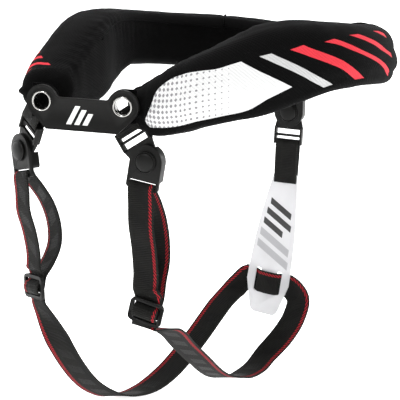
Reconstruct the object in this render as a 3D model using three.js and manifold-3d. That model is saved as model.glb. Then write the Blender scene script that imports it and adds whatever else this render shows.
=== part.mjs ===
// Soft neck collar with a webbing harness, worn on the shoulders round the neck.
// Millimetres. +Z is up, -Y is the wearer's front and +X the wearer's left.
// The origin is the centre of the neck opening, level with the lower edge at the nape.

import * as THREE from "three";
import { mergeVertices } from "three/addons/utils/BufferGeometryUtils.js";
import Module from "manifold-3d";

const wasm = await Module();
wasm.setup();

// Clearance between pieces that touch.
const gap = 0.35;

// Straight steps in half a turn of a round edge.
const roundSteps = 16;

// The foam ring.
const ringWidth = 266;
const padThickness = 45;
const padHeight = 56;
const outerTopRound = 17;
const outerLowRound = 9;
const innerRound = 8;
const outerCrown = 3;
const faceCrown = 1.2;
const tipRound = 9;
const tabThickness = 2.6;
const tabRadius = 10.6;
const tabLength = 14;

// The rigid plate that joins the two front tips, and its eyelets. The tips reach plateTipShare
// of the ring's middle radius at the plate's centre.
const plateTipShare = 1.2;
const plateClearance = 4.9;
const plateDrop = 5;
const plateTurn = 30;
const plateTilt = 2.2;
const plateThickness = 3;
const plateBelow = 20;
const plateWaist = 3.6;
const bottomHalf = 27;
const chamferHeight = 8;
const lobeRadius = 11.8;
const eyeletSpacing = 61;
const eyeletBore = 5.9;
const eyeletWall = 0.5;
const eyeletRim = 7.3;
const eyeletRimThickness = 0.8;

// The webbing and the snap buckles.
const webbingWidth = 20;
const webbingThickness = 1.6;
const slotPlay = 0.4;
const barHeight = 3;
const railWidth = 1.7;
const railDepth = 5.4;
const linkThickness = 2.4;
const linkSlotNear = 17;
const linkSlotHeight = 4.3;
const linkBarHeight = 2;
const linkTopSlotHeight = 3.8;
const linkEndRadius = 10.2;
const bodyWall = 2.1;
const bodyThickness = 3;
const skirtDepth = 5.6;
const skirtWall = 1.5;
const bodySlotDrop = 15.4;
const bodySlotHeight = 4.2;
const capRadius = 8;
const capHeight = 3.2;
const stemRadius = 2.8;
const rivetRadius = 4.6;
const rivetThickness = 1;

// Where each snap's cap lies, measured from the plate's centre or from the neck's centre.
// anchor is the length of the webbing above the link.
const leftSnap = { out: 46, drop: 40, back: 9, turn: 25, linkLean: -32, bodyLean: 10, anchor: 14 };
const rightSnap = { out: 54, drop: 41, back: 18.5, turn: -8, linkLean: 30, bodyLean: -12, anchor: 15 };
const rearSnap = { side: -17, drop: 36, turn: 25, linkLean: 183, bodyLean: 180, anchor: 26 };
const rearSnapInset = 13;

// The adjuster loops and their sliders.
const leftLoop = { drop: 93, shift: 2, back: 0, bulge: 27, tilt: 14 };
const rightLoop = { drop: 86, shift: 0, back: 6, bulge: 22, tilt: 4 };
const sliderBar = 2.6;
const sliderSlot = 5.2;
const sliderWall = 2.8;
const sliderThickness = 2.6;

// The tongue at the back.
const tongueLength = 128;
const tongueTopHalf = 10;
const tongueWideHalf = 19;
const tongueWideDrop = 99;
const tongueEndHalf = 8;
const tongueThickness = 1.5;
const tongueLean = 9;
const tongueTurn = 25;
const tongueSlotDrop = 98;
const tongueSlotSpacing = 19;
const tongueSlotHeight = 21.4;
const tongueSlotWidth = 4.6;
const rearLoopLength = 34;
const tongueOverlap = 7;

// The free runs of the strap sag this far below a straight line from slider to tongue.
const leftSag = 72;
const rightSag = 90;

// Sections of the foam ring from the left tip round the nape to the right tip. turn is the
// angle from the nape in degrees. reach, low, high and thick are shares of the ring's middle
// radius, of the pad's height twice, and of the pad's thickness.
const padSections = [
  { turn: 168.5, reach: 1.025, low: -0.38, high: 0.2, thick: 0.54 },
  { turn: 164.5, reach: 0.995, low: -0.42, high: 0.24, thick: 0.68 },
  { turn: 157, reach: 0.98, low: -0.4, high: 0.38, thick: 0.84 },
  { turn: 149, reach: 0.985, low: -0.35, high: 0.49, thick: 0.92 },
  { turn: 142, reach: 1.0, low: -0.27, high: 0.6, thick: 0.98 },
  { turn: 134, reach: 1.01, low: -0.2, high: 0.73, thick: 1.0 },
  { turn: 124, reach: 1.01, low: -0.12, high: 0.87, thick: 1.0 },
  { turn: 112, reach: 1.0, low: 0.01, high: 0.93, thick: 1.0 },
  { turn: 98, reach: 1.0, low: 0.12, high: 0.91, thick: 0.99 },
  { turn: 82, reach: 1.0, low: 0.1, high: 0.86, thick: 0.97 },
  { turn: 60, reach: 1.0, low: 0.04, high: 0.8, thick: 0.93 },
  { turn: 40, reach: 0.99, low: 0.015, high: 0.75, thick: 0.88 },
  { turn: 20, reach: 0.975, low: 0.0, high: 0.69, thick: 0.84 },
  { turn: 0, reach: 0.965, low: 0.0, high: 0.66, thick: 0.82 },
  { turn: -20, reach: 0.975, low: 0.0, high: 0.69, thick: 0.84 },
  { turn: -40, reach: 0.99, low: 0.015, high: 0.75, thick: 0.88 },
  { turn: -60, reach: 1.0, low: 0.04, high: 0.8, thick: 0.93 },
  { turn: -82, reach: 1.0, low: 0.1, high: 0.86, thick: 0.97 },
  { turn: -98, reach: 1.0, low: 0.12, high: 0.91, thick: 0.99 },
  { turn: -112, reach: 1.0, low: 0.01, high: 0.93, thick: 1.0 },
  { turn: -124, reach: 1.0, low: -0.12, high: 0.87, thick: 1.0 },
  { turn: -136, reach: 1.015, low: -0.21, high: 0.74, thick: 1.0 },
  { turn: -146, reach: 1.09, low: -0.27, high: 0.59, thick: 0.98 },
  { turn: -154, reach: 1.19, low: -0.29, high: 0.46, thick: 0.96 },
  { turn: -161, reach: 1.3, low: -0.26, high: 0.37, thick: 0.92 },
  { turn: -165, reach: 1.37, low: -0.2, high: 0.31, thick: 0.84 },
];

// Free runs of the strap from the slider to the tongue. along is the share of the way, side
// and sag are shares of the run's sag, side positive towards the wearer's left.
const leftRun = [
  { along: 0.12, side: 0.06, sag: 0.1 },
  { along: 0.26, side: -0.02, sag: 0.36 },
  { along: 0.39, side: -0.06, sag: 0.62 },
  { along: 0.52, side: -0.15, sag: 0.84 },
  { along: 0.63, side: -0.19, sag: 0.97 },
  { along: 0.73, side: -0.14, sag: 1.0 },
  { along: 0.81, side: -0.1, sag: 0.94 },
  { along: 0.88, side: -0.08, sag: 0.82 },
  { along: 0.945, side: 0.0, sag: 0.65 },
  { along: 0.995, side: 0.1, sag: 0.4 },
  { along: 1.02, side: 0.12, sag: 0.16 },
];
const rightRun = [
  { along: 0.07, side: 0.02, sag: 0.36 },
  { along: 0.157, side: -0.04, sag: 0.65 },
  { along: 0.246, side: -0.1, sag: 0.86 },
  { along: 0.35, side: -0.13, sag: 1.0 },
  { along: 0.44, side: -0.14, sag: 1.03 },
  { along: 0.534, side: -0.14, sag: 0.99 },
  { along: 0.64, side: -0.13, sag: 0.85 },
  { along: 0.78, side: -0.12, sag: 0.55 },
  { along: 0.89, side: -0.12, sag: 0.29 },
  { along: 0.97, side: -0.1, sag: 0.13 },
];

// The two layers of an adjuster loop. down is a share of the loop's drop, out a share of its
// bulge, positive towards the front.
const loopFront = [
  { down: 0.14, out: 0.14 },
  { down: 0.3, out: 0.16 },
  { down: 0.5, out: 0.0 },
  { down: 0.7, out: -0.08 },
  { down: 0.84, out: -0.05 },
];
const loopBack = [
  { down: 0.1, out: -0.42 },
  { down: 0.26, out: -0.78 },
  { down: 0.45, out: -0.98 },
  { down: 0.64, out: -0.94 },
  { down: 0.8, out: -0.6 },
];

const rad = THREE.MathUtils.degToRad;
const vec = (x, y, z) => new THREE.Vector3(x, y, z);

// Turns a closed mesh the right way out.
function outward(geometry) {
  const at = geometry.attributes.position;
  const index = geometry.index;
  const [a, b, c] = [vec(), vec(), vec()];
  let volume = 0;
  for (let i = 0; i < index.count; i += 3) {
    a.fromBufferAttribute(at, index.getX(i));
    b.fromBufferAttribute(at, index.getX(i + 1));
    c.fromBufferAttribute(at, index.getX(i + 2));
    volume += a.dot(b.cross(c));
  }
  if (volume < 0) {
    for (let i = 0; i < index.count; i += 3) {
      const keep = index.getX(i);
      index.setX(i, index.getX(i + 1));
      index.setX(i + 1, keep);
    }
  }
  return geometry;
}

// Welds a three.js shape so that only its corner points are left.
function weld(geometry) {
  geometry.deleteAttribute("normal");
  geometry.deleteAttribute("uv");
  return outward(mergeVertices(geometry, 1e-4));
}

// A closed skin over a row of rings that all have the same number of points.
function loft(rings) {
  const count = rings[0].length;
  const points = rings.flat();
  const faces = [];
  for (let r = 0; r < rings.length - 1; r += 1) {
    for (let i = 0; i < count; i += 1) {
      const next = (i + 1) % count;
      const [a, b] = [r * count + i, r * count + next];
      const [c, d] = [a + count, b + count];
      faces.push(a, b, c, b, d, c);
    }
  }
  for (const ring of [0, rings.length - 1]) {
    const start = ring * count;
    for (let i = 1; i < count - 1; i += 1) {
      if (ring === 0) faces.push(start, start + i + 1, start + i);
      else faces.push(start, start + i, start + i + 1);
    }
  }
  const geometry = new THREE.BufferGeometry().setFromPoints(points);
  geometry.setIndex(faces);
  return outward(geometry);
}

function toManifold(geometry) {
  const vertProperties = Float32Array.from(geometry.attributes.position.array);
  const triVerts = Uint32Array.from(geometry.index.array);
  return new wasm.Manifold(new wasm.Mesh({ numProp: 3, vertProperties, triVerts }));
}

function fromManifold(manifold) {
  const mesh = manifold.getMesh();
  const geometry = new THREE.BufferGeometry();
  geometry.setAttribute("position", new THREE.BufferAttribute(Float32Array.from(mesh.vertProperties), 3));
  geometry.setIndex(new THREE.BufferAttribute(Uint32Array.from(mesh.triVerts), 1));
  return geometry;
}

// The biggest of the bodies that a cut leaves.
function largest(manifold) {
  return manifold.decompose().reduce((best, body) => (body.volume() > best.volume() ? body : best));
}

// A flat outline made solid. The outline's y becomes up and its thickness runs from front,
// measured towards the viewer, back by the given amount.
function slab(shape, front, thickness, curveSteps = 4) {
  const settings = { depth: thickness, bevelEnabled: false, curveSegments: curveSteps };
  const geometry = weld(new THREE.ExtrudeGeometry(shape, settings));
  geometry.translate(0, 0, front - thickness);
  return geometry.rotateX(Math.PI / 2);
}

// A round piece about the front-to-back axis, from radius and height pairs.
function turned(profile, steps) {
  const points = profile.map(([radius, height]) => new THREE.Vector2(radius, height));
  const geometry = weld(new THREE.LatheGeometry(points, steps));
  return geometry.rotateX(Math.PI);
}

function roundRect(shape, left, right, low, high, radius) {
  shape.moveTo(left + radius, low);
  shape.lineTo(right - radius, low);
  shape.absarc(right - radius, low + radius, radius, -Math.PI / 2, 0, false);
  shape.lineTo(right, high - radius);
  shape.absarc(right - radius, high - radius, radius, 0, Math.PI / 2, false);
  shape.lineTo(left + radius, high);
  shape.absarc(left + radius, high - radius, radius, Math.PI / 2, Math.PI, false);
  shape.lineTo(left, low + radius);
  shape.absarc(left + radius, low + radius, radius, Math.PI, 1.5 * Math.PI, false);
  return shape;
}

const slotHole = (half, low, high) => roundRect(new THREE.Path(), -half, half, low, high, 0.6);

function circleHole(x, y, radius) {
  const path = new THREE.Path();
  path.absarc(x, y, radius, 0, 2 * Math.PI, true);
  return path;
}

// A place with its front turned from the wearer's front about +Z, then leaned in its own plane.
function placeAt(position, turn, lean) {
  const turned = new THREE.Quaternion().setFromAxisAngle(vec(0, 0, 1), rad(turn));
  const leaned = new THREE.Quaternion().setFromAxisAngle(vec(0, 1, 0), rad(lean));
  return new THREE.Matrix4().compose(position, turned.multiply(leaned), vec(1, 1, 1));
}

const spot = (place, x, y, z) => vec(x, y, z).applyMatrix4(place);
const along = (place, x, y, z) => vec(x, y, z).transformDirection(place);
const middleOf = (place) => vec(0, 0, 0).setFromMatrixPosition(place);
const raised = (place, up) => place.clone().multiply(new THREE.Matrix4().makeTranslation(0, 0, up));

// The foam ring's outline across one section, from its middle.
function padOutline(half, low, high, inset) {
  const height = high - low;
  const limit = 0.48 * Math.min(height, 2 * half) - inset;
  const corner = (round) => Math.max(0.6, Math.min(round - 0.5 * inset, limit));
  const [left, right] = [-half + inset, half - inset];
  const [base, top] = [low + inset, high - inset];
  const corners = [
    { x: right, z: base, round: corner(outerLowRound), from: -90 },
    { x: right, z: top, round: corner(outerTopRound), from: 0 },
    { x: left, z: top, round: corner(innerRound), from: 90 },
    { x: left, z: base, round: corner(innerRound), from: 180 },
  ];
  const outline = [];
  for (const [number, at] of corners.entries()) {
    const cx = at.x - Math.sign(at.x) * at.round;
    const cz = at.z === top ? top - at.round : base + at.round;
    for (const step of [0, 30, 60, 90]) {
      const angle = rad(at.from + step);
      outline.push([cx + at.round * Math.cos(angle), cz + at.round * Math.sin(angle)]);
    }
    const next = corners[(number + 1) % 4];
    const crown = number === 0 ? outerCrown : faceCrown;
    const [ax, az] = outline[outline.length - 1];
    const bx = number % 2 === 0 ? next.x : next.x - Math.sign(next.x) * next.round;
    const bz = number % 2 === 0 ? next.z - Math.sign(next.z - az) * next.round : next.z;
    const out = rad(at.from + 90);
    const push = crown * (1 - inset / tipRound);
    const lean = number === 0 ? 0.4 : 0.5;
    outline.push([
      ax + (bx - ax) * lean + push * Math.cos(out),
      az + (bz - az) * lean + push * Math.sin(out),
    ]);
  }
  return outline;
}

const middleRadius = (ringWidth - padThickness) / 2;

function padCurves() {
  const centres = [];
  const sizes = [];
  for (const row of padSections) {
    const angle = rad(row.turn);
    const reach = row.reach * middleRadius;
    centres.push(vec(reach * Math.sin(angle), reach * Math.cos(angle), 0));
    sizes.push(vec(row.low * padHeight, row.high * padHeight, row.thick * padThickness));
  }
  return [new THREE.CatmullRomCurve3(centres), new THREE.CatmullRomCurve3(sizes)];
}

function padRing(centre, tangent, size, inset) {
  const out = vec(tangent.y, -tangent.x, 0).normalize();
  if (out.dot(centre) < 0) out.negate();
  return padOutline(size.z / 2, size.x, size.y, inset).map(([across, up]) =>
    centre.clone().addScaledVector(out, across).setZ(up),
  );
}

// The foam body alone, with both tips rounded off.
function foamBody() {
  const [centres, sizes] = padCurves();
  const steps = 46;
  const rings = [];
  for (const [start, way] of [[0, -1], [1, 1]]) {
    const tangent = centres.getTangent(start);
    const capRings = [0, 25, 50, 72].map((angle) => {
      const centre = centres.getPoint(start).addScaledVector(tangent, way * tipRound * Math.cos(rad(angle)));
      return padRing(centre, tangent, sizes.getPoint(start), tipRound * (1 - Math.sin(rad(angle))));
    });
    if (start === 0) rings.push(...capRings);
    else rings.push(...capRings.reverse());
    if (start === 0) {
      for (let i = 0; i <= steps; i += 1) {
        const t = i / steps;
        rings.push(padRing(centres.getPoint(t), centres.getTangent(t), sizes.getPoint(t), 0));
      }
    }
  }
  return toManifold(loft(rings));
}

// The plate.
const plateReach = plateTipShare * middleRadius + tipRound + plateClearance;
const platePlace = placeAt(vec(0, -plateReach, -plateDrop), plateTurn, plateTilt);
const plateFront = plateThickness / 2;
const plateBack = -plateThickness / 2;
const tabFront = plateBack - gap;
const tabBack = tabFront - tabThickness;
const eyeletOuter = eyeletBore + eyeletWall;
const eyeletHole = eyeletOuter + gap;

function plateShape() {
  const shape = new THREE.Shape();
  const half = eyeletSpacing / 2;
  const blend = 3;
  const lobeStart = -Math.asin(chamferHeight / lobeRadius);
  const lobeEnd = Math.PI - Math.asin((plateWaist + blend) / (lobeRadius + blend));
  const blendX = half + (lobeRadius + blend) * Math.cos(lobeEnd);
  shape.moveTo(-bottomHalf, -plateBelow);
  shape.lineTo(bottomHalf, -plateBelow);
  shape.lineTo(half + lobeRadius * Math.cos(lobeStart), -chamferHeight);
  shape.absarc(half, 0, lobeRadius, lobeStart, lobeEnd, false);
  shape.absarc(blendX, plateWaist + blend, blend, lobeEnd - Math.PI, -Math.PI / 2, true);
  shape.absarc(-blendX, plateWaist + blend, blend, -Math.PI / 2, -lobeEnd, true);
  shape.absarc(-half, 0, lobeRadius, Math.PI - lobeEnd, Math.PI - lobeStart, false);
  shape.closePath();
  for (const side of [-half, half]) shape.holes.push(circleHole(side, 0, eyeletHole));
  return shape;
}

function eyeletShape() {
  const front = plateFront + gap;
  const back = -tabBack + gap;
  return turned(
    [
      [eyeletBore, -back - eyeletRimThickness],
      [eyeletRim, -back - eyeletRimThickness],
      [eyeletRim, -back],
      [eyeletOuter, -back],
      [eyeletOuter, front],
      [eyeletRim, front],
      [eyeletRim, front + 0.4 * eyeletRimThickness],
      [eyeletRim - 0.5 * eyeletRimThickness, front + eyeletRimThickness],
      [eyeletBore, front + eyeletRimThickness],
      [eyeletBore, -back - eyeletRimThickness],
    ],
    2 * roundSteps,
  );
}

// The fabric tab at a tip, side is 1 for the left and -1 for the right.
function tabManifold(side) {
  const start = side * (eyeletSpacing / 2);
  const shape = new THREE.Shape();
  const turnFrom = side > 0 ? Math.PI / 2 : -Math.PI / 2;
  shape.absarc(start, 0, tabRadius, turnFrom, turnFrom + Math.PI, false);
  shape.lineTo(start + side * tabLength, -side * tabRadius);
  shape.lineTo(start + side * tabLength, side * tabRadius);
  shape.closePath();
  return toManifold(slab(shape, tabFront, tabThickness).applyMatrix4(platePlace));
}

function tabHole(side) {
  const depth = tipRound;
  const wide = eyeletRim + gap;
  const barrel = turned([[0, -depth], [eyeletHole, -depth], [eyeletHole, 0], [0, 0]], 24);
  const pocket = turned([[0, -depth], [wide, -depth], [wide, tabBack], [0, tabBack]], 24);
  const bore = toManifold(barrel).add(toManifold(pocket));
  const aside = new THREE.Matrix4().makeTranslation(side * (eyeletSpacing / 2), 0, 0);
  return bore.transform(platePlace.clone().multiply(aside).elements);
}

// The snap buckle. Its own frame has the cap's centre at the origin.
const slotHalf = webbingWidth / 2 + slotPlay;
const linkHalf = slotHalf + railWidth;
const bodyHalf = slotHalf + bodyWall;
const linkSlotLow = linkSlotNear - linkSlotHeight / 2;
const linkBarLow = linkSlotLow + linkSlotHeight;
const linkTopSlotLow = linkBarLow + linkBarHeight;
const linkTopBarLow = linkTopSlotLow + linkTopSlotHeight;
const linkTop = linkTopBarLow + barHeight;
const bodyFront = bodyThickness / 2;
const linkFront = -bodyThickness / 2 - gap;
const linkBack = linkFront - linkThickness;
const linkMiddle = (linkFront + linkBack) / 2;
const stemHole = stemRadius + gap;
const bodyBarTop = -bodySlotDrop - bodySlotHeight / 2;
const bodyBarMiddle = bodyBarTop - barHeight / 2;

function linkOutline(extra) {
  const shape = new THREE.Shape();
  const round = linkEndRadius + extra;
  const half = linkHalf + extra;
  const shoulder = bodyHalf + gap;
  shape.moveTo(half, shoulder);
  shape.lineTo(half, linkTop + extra);
  shape.lineTo(-half, linkTop + extra);
  shape.lineTo(-half, shoulder);
  shape.absarc(0, 0, round, Math.PI * 0.9, Math.PI * 2.1, false);
  shape.closePath();
  return shape;
}

function linkShape() {
  const shape = linkOutline(0);
  shape.holes.push(circleHole(0, 0, stemHole));
  shape.holes.push(slotHole(slotHalf, linkSlotLow, linkBarLow));
  shape.holes.push(slotHole(slotHalf, linkTopSlotLow, linkTopBarLow));
  let link = toManifold(slab(shape, linkFront, linkThickness, roundSteps));
  for (const side of [-1, 1]) {
    const rail = roundRect(
      new THREE.Shape(), -railWidth / 2, railWidth / 2, bodyHalf + 2 * gap, linkTop, railWidth * 0.4);
    const geometry = slab(rail, linkMiddle + railDepth / 2, railDepth, 3);
    geometry.translate(side * (linkHalf - railWidth / 2), 0, 0);
    link = link.add(toManifold(geometry));
  }
  return link;
}

function bodyOutline(inset, low) {
  const shape = new THREE.Shape();
  const half = bodyHalf - inset;
  const round = 2.4;
  shape.moveTo(half, 0);
  shape.absarc(0, 0, half, 0, Math.PI, false);
  shape.lineTo(-half, low + round);
  shape.absarc(-half + round, low + round, round, Math.PI, 1.5 * Math.PI, false);
  shape.absarc(half - round, low + round, round, 1.5 * Math.PI, 2 * Math.PI, false);
  shape.closePath();
  return shape;
}

function bodyManifold(linkAngle) {
  const low = bodyBarTop - barHeight;
  const shape = bodyOutline(0, low);
  shape.holes.push(circleHole(0, 0, stemHole));
  shape.holes.push(slotHole(slotHalf, bodyBarTop, bodyBarTop + bodySlotHeight));
  const plate = toManifold(slab(shape, bodyFront, bodyThickness, roundSteps));
  const skirtLow = bodyBarTop + bodySlotHeight + gap;
  const skirtShape = bodyOutline(0, skirtLow - skirtWall);
  const skirt = toManifold(slab(skirtShape, bodyFront - 1, skirtDepth + bodyThickness - 1, roundSteps));
  const insideShape = bodyOutline(skirtWall, skirtLow);
  const inside = toManifold(slab(insideShape, bodyFront - bodyThickness, 2 * skirtDepth, roundSteps));
  const wayOut = toManifold(slab(linkOutline(2 * gap), -bodyFront, 2 * skirtDepth));
  const turn = new THREE.Matrix4().makeRotationY(rad(linkAngle));
  const ends = [-bodyThickness, bodyThickness];
  const stem = turned([[0, ends[0]], [stemHole, ends[0]], [stemHole, ends[1]], [0, ends[1]]], 16);
  const open = skirt.subtract(inside).subtract(wayOut.transform(turn.elements));
  return plate.add(open).subtract(toManifold(stem));
}

function capShape() {
  const front = bodyFront + gap;
  const back = -linkBack + gap;
  const dome = [90, 70, 50, 30, 12].map((angle) => [
    capRadius * Math.cos(rad(angle)),
    front + 0.8 + (capHeight - 0.8) * Math.sin(rad(angle)),
  ]);
  dome[0][0] = 0;
  return turned(
    [
      [0, -back - rivetThickness],
      [rivetRadius, -back - rivetThickness],
      [rivetRadius, -back],
      [stemRadius, -back],
      [stemRadius, front],
      [capRadius, front],
      ...dome.reverse(),
    ],
    2 * roundSteps,
  );
}

// The strap, as a flat band that follows a route. Each stop has its place and the way that
// its coloured edge points.
function band(route, width, thickness) {
  const rings = route.map((stop, i) => {
    const before = route[Math.max(0, i - 1)].at;
    const after = route[Math.min(route.length - 1, i + 1)].at;
    const way = after.clone().sub(before).normalize();
    const edge = stop.edge.clone().addScaledVector(way, -stop.edge.dot(way)).normalize();
    const face = way.clone().cross(edge);
    const corner = (e, f) =>
      stop.at.clone().addScaledVector(edge, e * width / 2).addScaledVector(face, f * thickness / 2);
    return [corner(1, 1), corner(-1, 1), corner(-1, -1), corner(1, -1)];
  });
  return loft(rings);
}

// Stops along a smooth curve through the given ones.
function smooth(stops, spacing) {
  const curve = new THREE.CatmullRomCurve3(stops.map((stop) => stop.at));
  const last = stops.length - 1;
  const route = [];
  for (let i = 0; i < last; i += 1) {
    const steps = Math.max(1, Math.round(stops[i].at.distanceTo(stops[i + 1].at) / spacing));
    for (let k = 0; k < steps; k += 1) {
      const share = k / steps;
      route.push({
        at: curve.getPoint((i + share) / last),
        edge: stops[i].edge.clone().lerp(stops[i + 1].edge, share),
      });
    }
  }
  route.push(stops[last]);
  return route;
}

// Stops round a bar. place holds the bar's centre, x along the bar, angles in degrees with 0
// to the front and 90 up.
function roundBar(place, radius, angles, edge) {
  return angles.map((angle) => ({
    at: spot(place, 0, -radius * Math.cos(rad(angle)), radius * Math.sin(rad(angle))),
    edge,
  }));
}

const wrapRadius = Math.hypot(barHeight, bodyThickness) / 2 + gap + webbingThickness / 2;
const barRise = barHeight / 2 + 1.2;

// Each snap's places: where its body and link lie.
function frontSnap(settings, side) {
  const centre = spot(platePlace, side * settings.out, settings.back, -settings.drop);
  return {
    centre,
    body: placeAt(centre, settings.turn, settings.bodyLean),
    link: placeAt(centre, settings.turn, settings.linkLean),
    linkAngle: settings.linkLean - settings.bodyLean,
  };
}
const left = frontSnap(leftSnap, 1);
const right = frontSnap(rightSnap, -1);
const napeInside = 0.965 * middleRadius - 0.41 * padThickness;
const rearCentre = vec(rearSnap.side, napeInside + rearSnapInset - 0.12 * padThickness, -rearSnap.drop);
const rear = {
  centre: rearCentre,
  body: placeAt(rearCentre, rearSnap.turn, rearSnap.bodyLean),
  link: placeAt(rearCentre, rearSnap.turn, rearSnap.linkLean),
  linkAngle: rearSnap.linkLean - rearSnap.bodyLean,
};

// A webbing loop folded round a bar. Its two layers meet at the end place, whose y runs
// through them and whose x runs along their width.
function foldedLoop(bar, end, between = gap) {
  const layer = webbingThickness / 2 + between / 2;
  const barEdge = along(bar, 1, 0, 0);
  const endEdge = along(end, 1, 0, 0);
  const side = (way) =>
    [1, 0].map((share) => {
      const depth = way * (layer * share + wrapRadius * (1 - share));
      const near = spot(bar, 0, depth, barRise);
      const far = spot(end, 0, depth, 0);
      return { at: near.lerp(far, share), edge: barEdge.clone().lerp(endEdge, share) };
    });
  const round = roundBar(bar, wrapRadius, [0, -30, -60, -90, -120, -150, -180], barEdge);
  return [...side(-1), ...round, ...side(1).reverse()];
}

function linkBarPlace(snap) {
  const up = linkTopBarLow + barHeight / 2;
  return snap.link.clone().multiply(new THREE.Matrix4().makeTranslation(0, -linkMiddle, up));
}

function bodyBarPlace(snap) {
  return raised(snap.body, bodyBarMiddle);
}

const colours = {
  pad: 0x121212,
  plate: 0x1b1b1a,
  eyelet: 0xd8d8d8,
  webbing: 0x1a1a1a,
  buckle: 0x242423,
  tongue: 0xececec,
};

function material(colour, roughness, metalness) {
  return new THREE.MeshStandardMaterial({ color: colour, roughness, metalness });
}

const fabric = () => material(colours.pad, 0.9, 0);
const plastic = () => material(colours.buckle, 0.45, 0);
const webbing = () => material(colours.webbing, 0.85, 0);

function named(name, geometry, finish) {
  const mesh = new THREE.Mesh(geometry, finish);
  mesh.name = name;
  return mesh;
}

// A group that sits in the given place.
function groupAt(place) {
  const group = new THREE.Group();
  place.decompose(group.position, group.quaternion, group.scale);
  return group;
}

// The sliders.
const sliderHalf = slotHalf + sliderWall;
const sliderHeight = 3 * sliderBar + 2 * sliderSlot;
const sliderPitch = sliderBar + sliderSlot;

function sliderShape() {
  const high = sliderHeight / 2;
  const shape = roundRect(new THREE.Shape(), -sliderHalf, sliderHalf, -high, high, 4);
  shape.holes.push(slotHole(slotHalf, sliderBar / 2, sliderBar / 2 + sliderSlot));
  shape.holes.push(slotHole(slotHalf, -sliderBar / 2 - sliderSlot, -sliderBar / 2));
  return slab(shape, sliderThickness / 2, sliderThickness);
}

function sliderPlace(snap, settings, side, loop) {
  const hang = placeAt(middleOf(bodyBarPlace(snap)), settings.turn, 0);
  const centre = spot(hang, side * loop.shift, loop.back, -loop.drop);
  return placeAt(centre, settings.turn, side * loop.tilt);
}

const leftSliderPlace = sliderPlace(left, leftSnap, 1, leftLoop);
const rightSliderPlace = sliderPlace(right, rightSnap, -1, rightLoop);

// One adjuster loop: stops from the sewn end at the slider's middle bar, up the back layer,
// round the snap's bar, down the front layer and through the slider.
function loopStops(snap, settings, slider, loop, edgeSide) {
  const bar = bodyBarPlace(snap);
  const barEdge = along(bar, edgeSide, 0, 0);
  const sliderEdge = along(slider, edgeSide, 0, 0);
  const top = middleOf(bar);
  const foot = middleOf(slider);
  const front = along(placeAt(vec(0, 0, 0), settings.turn, 0), 0, -1, 0);
  const layer = (rows) =>
    rows.map((row) => ({
      at: top.clone().lerp(foot, row.down).addScaledVector(front, row.out * loop.bulge),
      edge: barEdge.clone().lerp(sliderEdge, row.down),
    }));
  const behind = sliderThickness / 2 + gap + webbingThickness / 2;
  const inSlider = (rows) =>
    rows.map(([forward, up]) => ({ at: spot(slider, 0, -forward, up), edge: sliderEdge }));
  const sewnRadius = Math.hypot(sliderBar, sliderThickness) / 2 + gap + webbingThickness / 2;
  const sewnEnd = [
    ...roundBar(slider, sewnRadius, [-95, -120, -150, 180], sliderEdge),
    ...inSlider([[-behind - 1.4, 3.2], [-behind - 2.6, sliderPitch]]),
  ];
  const back = layer(loopBack).reverse();
  const wrap = roundBar(bar, wrapRadius, [180, 150, 120, 90, 60, 30, 0], barEdge);
  const foreLayer = layer(loopFront);
  const through = inSlider([
    [-behind, sliderPitch + 3],
    [-behind, sliderPitch - 1.7],
    [-0.6, sliderBar / 2 + 0.45 * sliderSlot],
    [behind - 0.25, sliderBar / 2 + 1.3],
    [behind + 0.65, 0],
    [behind + 0.4, -sliderBar / 2 - 1.6],
    [1.6, -sliderBar / 2 - 3.3],
    [0, 1.4 - sliderBar / 2 - sliderSlot],
    [-1.3, 1.4 - sliderBar / 2 - sliderSlot],
    [-behind, 0.4 - sliderBar / 2 - sliderSlot],
    [-behind - 0.2, -sliderPitch - 1.8],
    [-behind - 0.6, -sliderPitch - 4.5],
  ]);
  return [
    ...sewnEnd,
    ...smooth(back, 14),
    ...wrap,
    ...smooth(foreLayer, 16),
    ...through,
  ];
}

// The tongue hangs from a webbing loop under the rear snap's link.
const rearBar = linkBarPlace(rear);
const tongueTop = spot(rearBar, 0, 0, rearLoopLength - tongueOverlap);
const tonguePlace = placeAt(tongueTop, tongueTurn, tongueLean);
const rearLoopEnd = raised(rearBar, rearLoopLength);

function tongueShape() {
  const shape = new THREE.Shape();
  const end = 5;
  shape.moveTo(tongueTopHalf, 0);
  shape.lineTo(-tongueTopHalf, 0);
  shape.quadraticCurveTo(-tongueWideHalf, -tongueWideDrop * 0.5, -tongueWideHalf, -tongueWideDrop);
  shape.lineTo(-tongueEndHalf - end, -tongueLength + end);
  shape.quadraticCurveTo(-tongueEndHalf - end * 0.6, -tongueLength, -tongueEndHalf, -tongueLength);
  shape.lineTo(tongueEndHalf, -tongueLength);
  shape.quadraticCurveTo(tongueEndHalf + end * 0.6, -tongueLength, tongueEndHalf + end, -tongueLength + end);
  shape.lineTo(tongueWideHalf, -tongueWideDrop);
  shape.quadraticCurveTo(tongueWideHalf, -tongueWideDrop * 0.5, tongueTopHalf, 0);
  for (const side of [-1, 1]) {
    const x = side * tongueSlotSpacing / 2;
    const high = -tongueSlotDrop + tongueSlotHeight / 2;
    const low = -tongueSlotDrop - tongueSlotHeight / 2;
    shape.holes.push(roundRect(
      new THREE.Path(), x - tongueSlotWidth / 2, x + tongueSlotWidth / 2, low, high, tongueSlotWidth * 0.4));
  }
  return slab(shape, tongueThickness / 2, tongueThickness, 5);
}

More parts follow.
